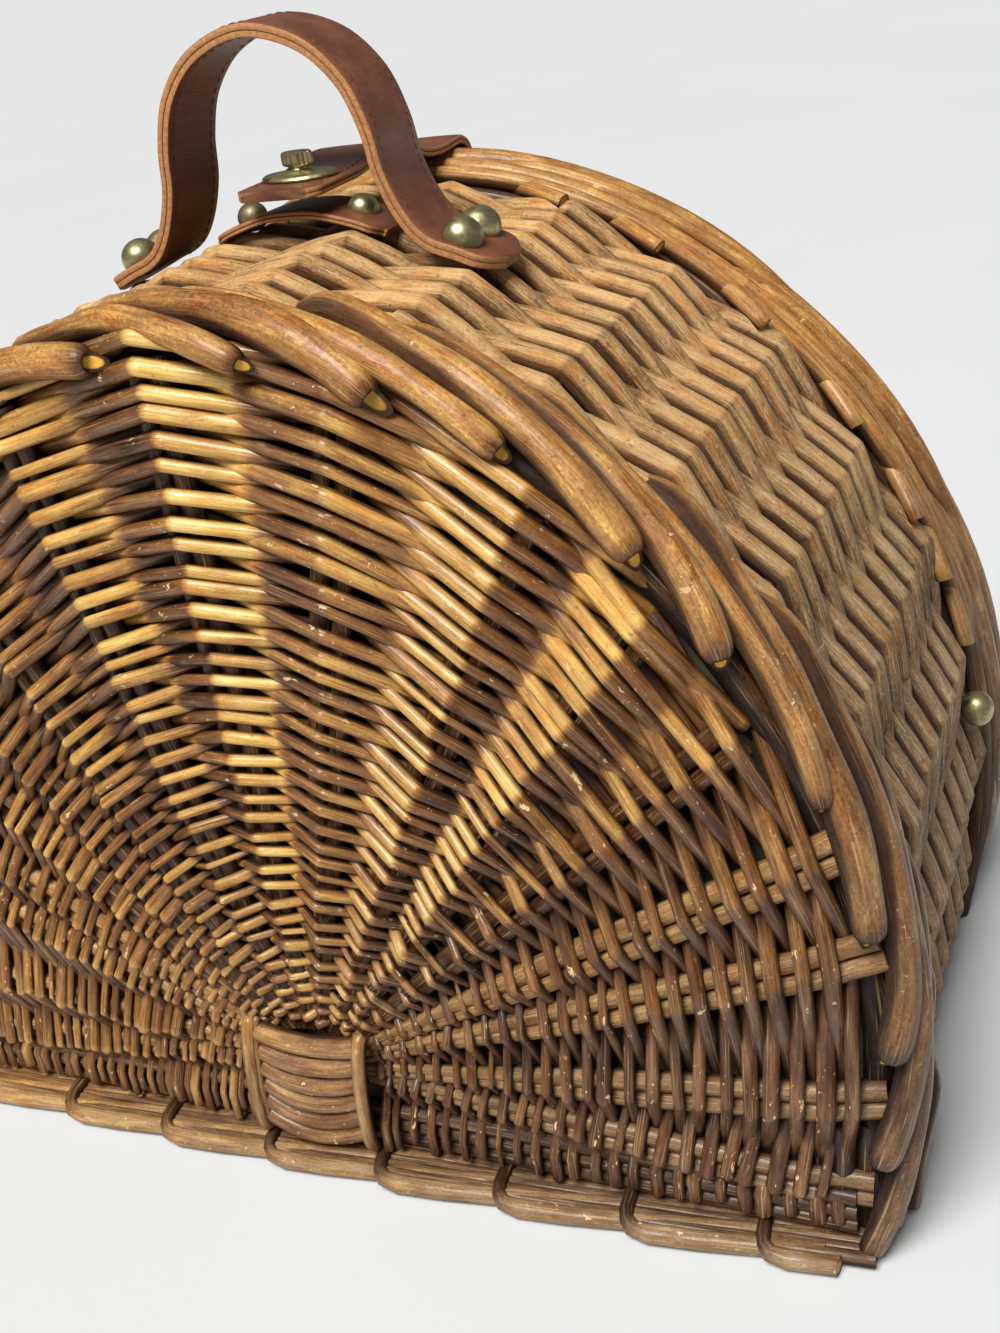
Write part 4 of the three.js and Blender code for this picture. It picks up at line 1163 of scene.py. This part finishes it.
# %% Handle
HANDLE_Y = -5.0
feet = on_arch([72.0, 65.0, 58.0, 51.0], 0.85, HANDLE_Y)[:, [0, 2]].tolist()
climb = feet + [(44.6, 291.6), (40.0, 299.0), (36.4, 309.0), (34.4, 321.5), (29.0, 335.0), (17.5, 346.0)]
loop = climb + [(0.0, 351.0)] + [(-x, z) for x, z in climb[::-1]]
handle_knots = [(x, HANDLE_Y, z) for x, z in loop]
handle_half = round_ends(half=13.75, nose=9.0, blunt=5.0)
handle_line, handle_ups = strap("handle", "case", "handle_strap", handle_knots, (0, 1, 0), handle_half, 4.0)

# %% Hasp and tab
HASP_Y = [106.45, 106.45, 106.3, 104.6, 99.0, 91, 82, 70, 58, 44, 32, 20, 11, 0, -17.5]
HASP_Z = [258, 274, 288, 296.2, 299.8, 299.7, 299.4, 300.6, 303.8, 307.2, 307.8, 306.2, 305.2, 305, 304.8]
TAB_SLOPE = [(29.5, 289.4), (26.6, 291.6), (22.0, 293.6), (12.0, 296.4), (5.0, 297.4)]


def hasp_half(mark, length):
    tip = min(1.0, (length - mark) / 3.0)
    tail = min(1.0, mark / 6.0)
    slim = np.interp(length - mark, [55.0, 95.0], [0.0, 4.5])
    return 14.4 - slim - 2.6 * (1 - tip) - 4.0 * (1 - tail) ** 2


hasp_knots = points(0.0, HASP_Y, HASP_Z)
hasp_line, hasp_ups = strap("hasp", "lid", "hasp_strap", hasp_knots, (-1, 0, 0), hasp_half, 3.0)
tab_knots = [(x, 0.0, z) for x, z in TAB_SLOPE] + [(-x, 0.0, z) for x, z in TAB_SLOPE[::-1]]
tab_half = round_ends(half=11.5, nose=6.0, blunt=7.0)
strap("tab", "case", "catch_tab", tab_knots, (0, 1, 0), tab_half, 2.5)

# %% [markdown]
# ## Stitches
# A line of thread runs along both edges of the handle and of the hasp. Stitches repeat along a path, so
# Geometry Nodes walk the line at an even step and lay a small capsule at each point.

# %% Stitch tree
def stitch_tree():
    given = {"Lines": "Geometry", "Step": "Float", "Length": "Float", "Thread": "Float", "Finish": "Material"}
    grow = Growth("stitches", given, "Stitches")
    lines, step, length, thread, finish = grow.given
    curve = grow.node("GeometryNodeMeshToCurve", {}, {"Mesh": lines})
    curve = grow.node("GeometryNodeResampleCurve", {"mode": "LENGTH"}, {"Curve": curve, "Length": step})
    bead = grow.node("GeometryNodeMeshUVSphere", {}, {"Segments": 6, "Rings": 4, "Radius": 0.5})
    size = grow.node("ShaderNodeCombineXYZ", {}, {"X": thread, "Y": thread, "Z": length})
    tangent = grow.node("GeometryNodeInputTangent")
    return grow.close(grow.lay(bead, curve, tangent, size), finish)


def thread_finish():
    finish = Finish("thread")
    twist = finish.noise(finish.place(), 900.0, 2.0)
    colour = finish.ramp(twist, (0.3, (0.060, 0.020, 0.009)), (0.7, (0.150, 0.055, 0.022)))
    return finish.wear(Base_Color=colour, Roughness=0.65 + twist * 0.2)


STITCH = {"Step": 3.4 * MM, "Length": 2.5 * MM, "Thread": 0.55 * MM, "Finish": thread_finish()}
stitches = stitch_tree()

# %% Stitches
def sew(name, runs, body):
    piece = grown(name, drawn(name, np.vstack(runs), chains(runs)), stitches, STITCH)
    hand_over(piece, body, "leather")


runs = []
for side in (-10.6, 10.6):
    for level in (2.12, -1.95):
        runs.append((handle_line + handle_ups * level + [0, side, 0])[12:-12])
sew("handle_stitches", runs, "case")
sew("hasp_stitches", [(hasp_line + hasp_ups * 1.62 + [side, 0, 0])[68:-9] for side in (-11.4, 11.4)], "lid")

# %% [markdown]
# ## Brass
# Domed rivets hold the straps, and an oval plate and a thumb turn close the hasp. All are dull brass with
# clouds of dark patina. The rivets repeat, so Geometry Nodes place one dome on each marked point.

# %% Brass finish
def antique_brass():
    finish = Finish("brass", Specular_IOR_Level=0.5)
    spot = finish.place()
    cloud = finish.noise(spot, 140.0, 4.0, 0.6)
    fine = finish.noise(spot, 900.0, 3.0)
    patina = finish.mask(cloud, 0.42, 0.62)
    return finish.wear(
        Base_Color=finish.blend(patina, (0.44, 0.38, 0.20), (0.17, 0.145, 0.075)),
        Metallic=1 - patina * 0.25,
        Roughness=0.30 + patina * 0.22 + fine * 0.12,
        Normal=finish.bump(fine * 0.5 + cloud * 0.5, 0.18, 0.0003),
    )


brass = antique_brass()
print("brass made")

# %% Rivets
def rivet_tree():
    grow = Growth("dome_rivets", {"Marks": "Geometry", "Crown": "Float", "Finish": "Material"}, "Rivets")
    marks, crown, finish = grow.given
    dome = grow.node("GeometryNodeMeshUVSphere", {}, {"Segments": 28, "Rings": 16, "Radius": 1.0})
    squash = grow.node("ShaderNodeCombineXYZ", {}, {"X": 1.0, "Y": 1.0, "Z": crown})
    inputs = {"Geometry": dome, "Scale": squash, "Translation": (0.0, 0.0, 0.16)}
    dome = grow.node("GeometryNodeTransform", {}, inputs)
    facing = grow.stored("facing", "FLOAT_VECTOR")
    return grow.close(grow.lay(dome, marks, facing, grow.stored("size")), finish)


def arch_mark(s, depth, y, size):
    place = on_arch(s, depth, y)
    return place, place - on_arch(s, depth + 1.0, y), size


side_s = np.interp(-102.0, -outline_z, outline_s)
rivet_marks = []
for side in (-1, 1):
    for y in (HANDLE_Y - 6.8, HANDLE_Y + 6.8):
        rivet_marks.append(arch_mark(side * 57.5, -1.5, y, 6.3))
    rivet_marks.append(arch_mark(side * side_s, 4.4, 60.0, 6.2))
    lean = np.array([side * 4.7, 0.0, 13.5])
    rivet_marks.append((np.array([side * 19.6, 0.0, 295.4]), lean / np.linalg.norm(lean), 4.9))
places, facing, sizes = zip(*rivet_marks)
marks_mesh = drawn("rivet_marks", places)
store(marks_mesh, "facing", facing)
store(marks_mesh, "size", np.array(sizes) * MM)
rivets = grown("rivets", marks_mesh, rivet_tree(), {"Crown": 0.92, "Finish": brass})
hand_over(rivets, "case", "brass", *named("handle_rivet"), *named("catch_rivet"), *named("side_rivet"))

# %% [markdown]
# ## Plate and thumb turn
# Both are turned shapes with an oval outline: a stack of rings, each with a radius and a height. The
# thumb turn's head is notched all round so that fingers grip it.

# %% Plate and knob
AROUND = 72
NOTCHES = 18
PLATE = [(12.4, 9.0, 0.0, 0), (12.6, 9.2, 0.5, 0), (12.3, 8.9, 1.1, 0), (11.6, 8.2, 1.5, 0)]
PLATE += [(10.6, 7.3, 1.6, 0), (9.6, 6.6, 1.45, 0), (8.6, 6.0, 1.5, 0), (7.0, 5.4, 1.9, 0)]
PLATE += [(5.4, 4.8, 2.3, 0), (4.2, 4.0, 2.5, 0), (3.4, 3.3, 2.55, 0)]
KNOB = [(3.2, 3.2, 0.0, 0), (3.0, 3.0, 0.6, 0), (2.5, 2.5, 1.0, 0), (2.5, 2.4, 1.5, 0), (4.2, 2.7, 1.9, 0.02)]
KNOB += [(5.1, 3.2, 2.3, 0.10), (5.3, 3.4, 2.9, 0.14), (5.3, 3.4, 5.2, 0.14), (5.0, 3.2, 5.9, 0.10)]
KNOB += [(4.3, 2.6, 6.2, 0.03), (1.5, 0.9, 6.25, 0)]


def turned_piece(name, rings, base, body, node):
    """Rings are (half length in x, half width in y, height, notch depth)."""
    angle = np.linspace(0, 2 * np.pi, AROUND, endpoint=False)
    spots = []
    for long, wide, height, notch in rings:
        grip = 1 - notch * (0.5 + 0.5 * np.cos(angle * NOTCHES))
        spots.extend(points(long * np.cos(angle) * grip, wide * np.sin(angle) * grip, base + height))
    piece = solid(name, spots, tube_faces(len(rings), AROUND), brass, sharp=45)
    hand_over(piece, body, "brass", node)


turned_piece("oval_plate", PLATE, 306.85, "lid", "hasp_plate")
turned_piece("thumb_turn", KNOB, 308.45, "knob", "turn_knob")
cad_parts["catch_stud"].data.materials.clear()
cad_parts["catch_stud"].data.materials.append(brass)

# %% [markdown]
# ## Floor and light
# The photo has a plain pale floor and soft light from above and a little from the front.

# %% Floor and light
sun = bpy.data.lights.new("window_above", "SUN")
sun.angle = math.radians(30.0)
sun.energy = 5.1
sun.color = (1.0, 0.985, 0.95)
towards_sun = Vector((-0.06, -0.53, 0.845))
in_scene("window_above", sun).rotation_euler = towards_sun.to_track_quat("Z", "Y").to_euler()
world = bpy.data.worlds.new("studio")
world.use_nodes = True
world.node_tree.nodes["Background"].inputs["Color"].default_value = (0.93, 0.96, 1.0, 1.0)
world.node_tree.nodes["Background"].inputs["Strength"].default_value = 0.17
bpy.context.scene.world = world
bpy.context.scene.view_settings.view_transform = "Standard"

FLOOR_HALF = 40000.0
floor_finish = Finish("pale_floor")
cloudy = floor_finish.noise(floor_finish.place(), 2.0, 2.0)
floor_tint = floor_finish.blend(cloudy, (0.560, 0.574, 0.586), (0.578, 0.592, 0.604))
corners = [(-FLOOR_HALF, -FLOOR_HALF, 0), (FLOOR_HALF, -FLOOR_HALF, 0)]
corners += [(FLOOR_HALF, FLOOR_HALF, 0), (-FLOOR_HALF, FLOOR_HALF, 0)]
floor_mesh = drawn("floor", corners, [], [(0, 1, 2, 3)])
floor_mesh.materials.append(floor_finish.wear(Base_Color=floor_tint, Roughness=0.55 + cloudy * 0.1))
floor = in_scene("floor", floor_mesh)
print("lit by one wide sun of", sun.energy, "and a weak sky")
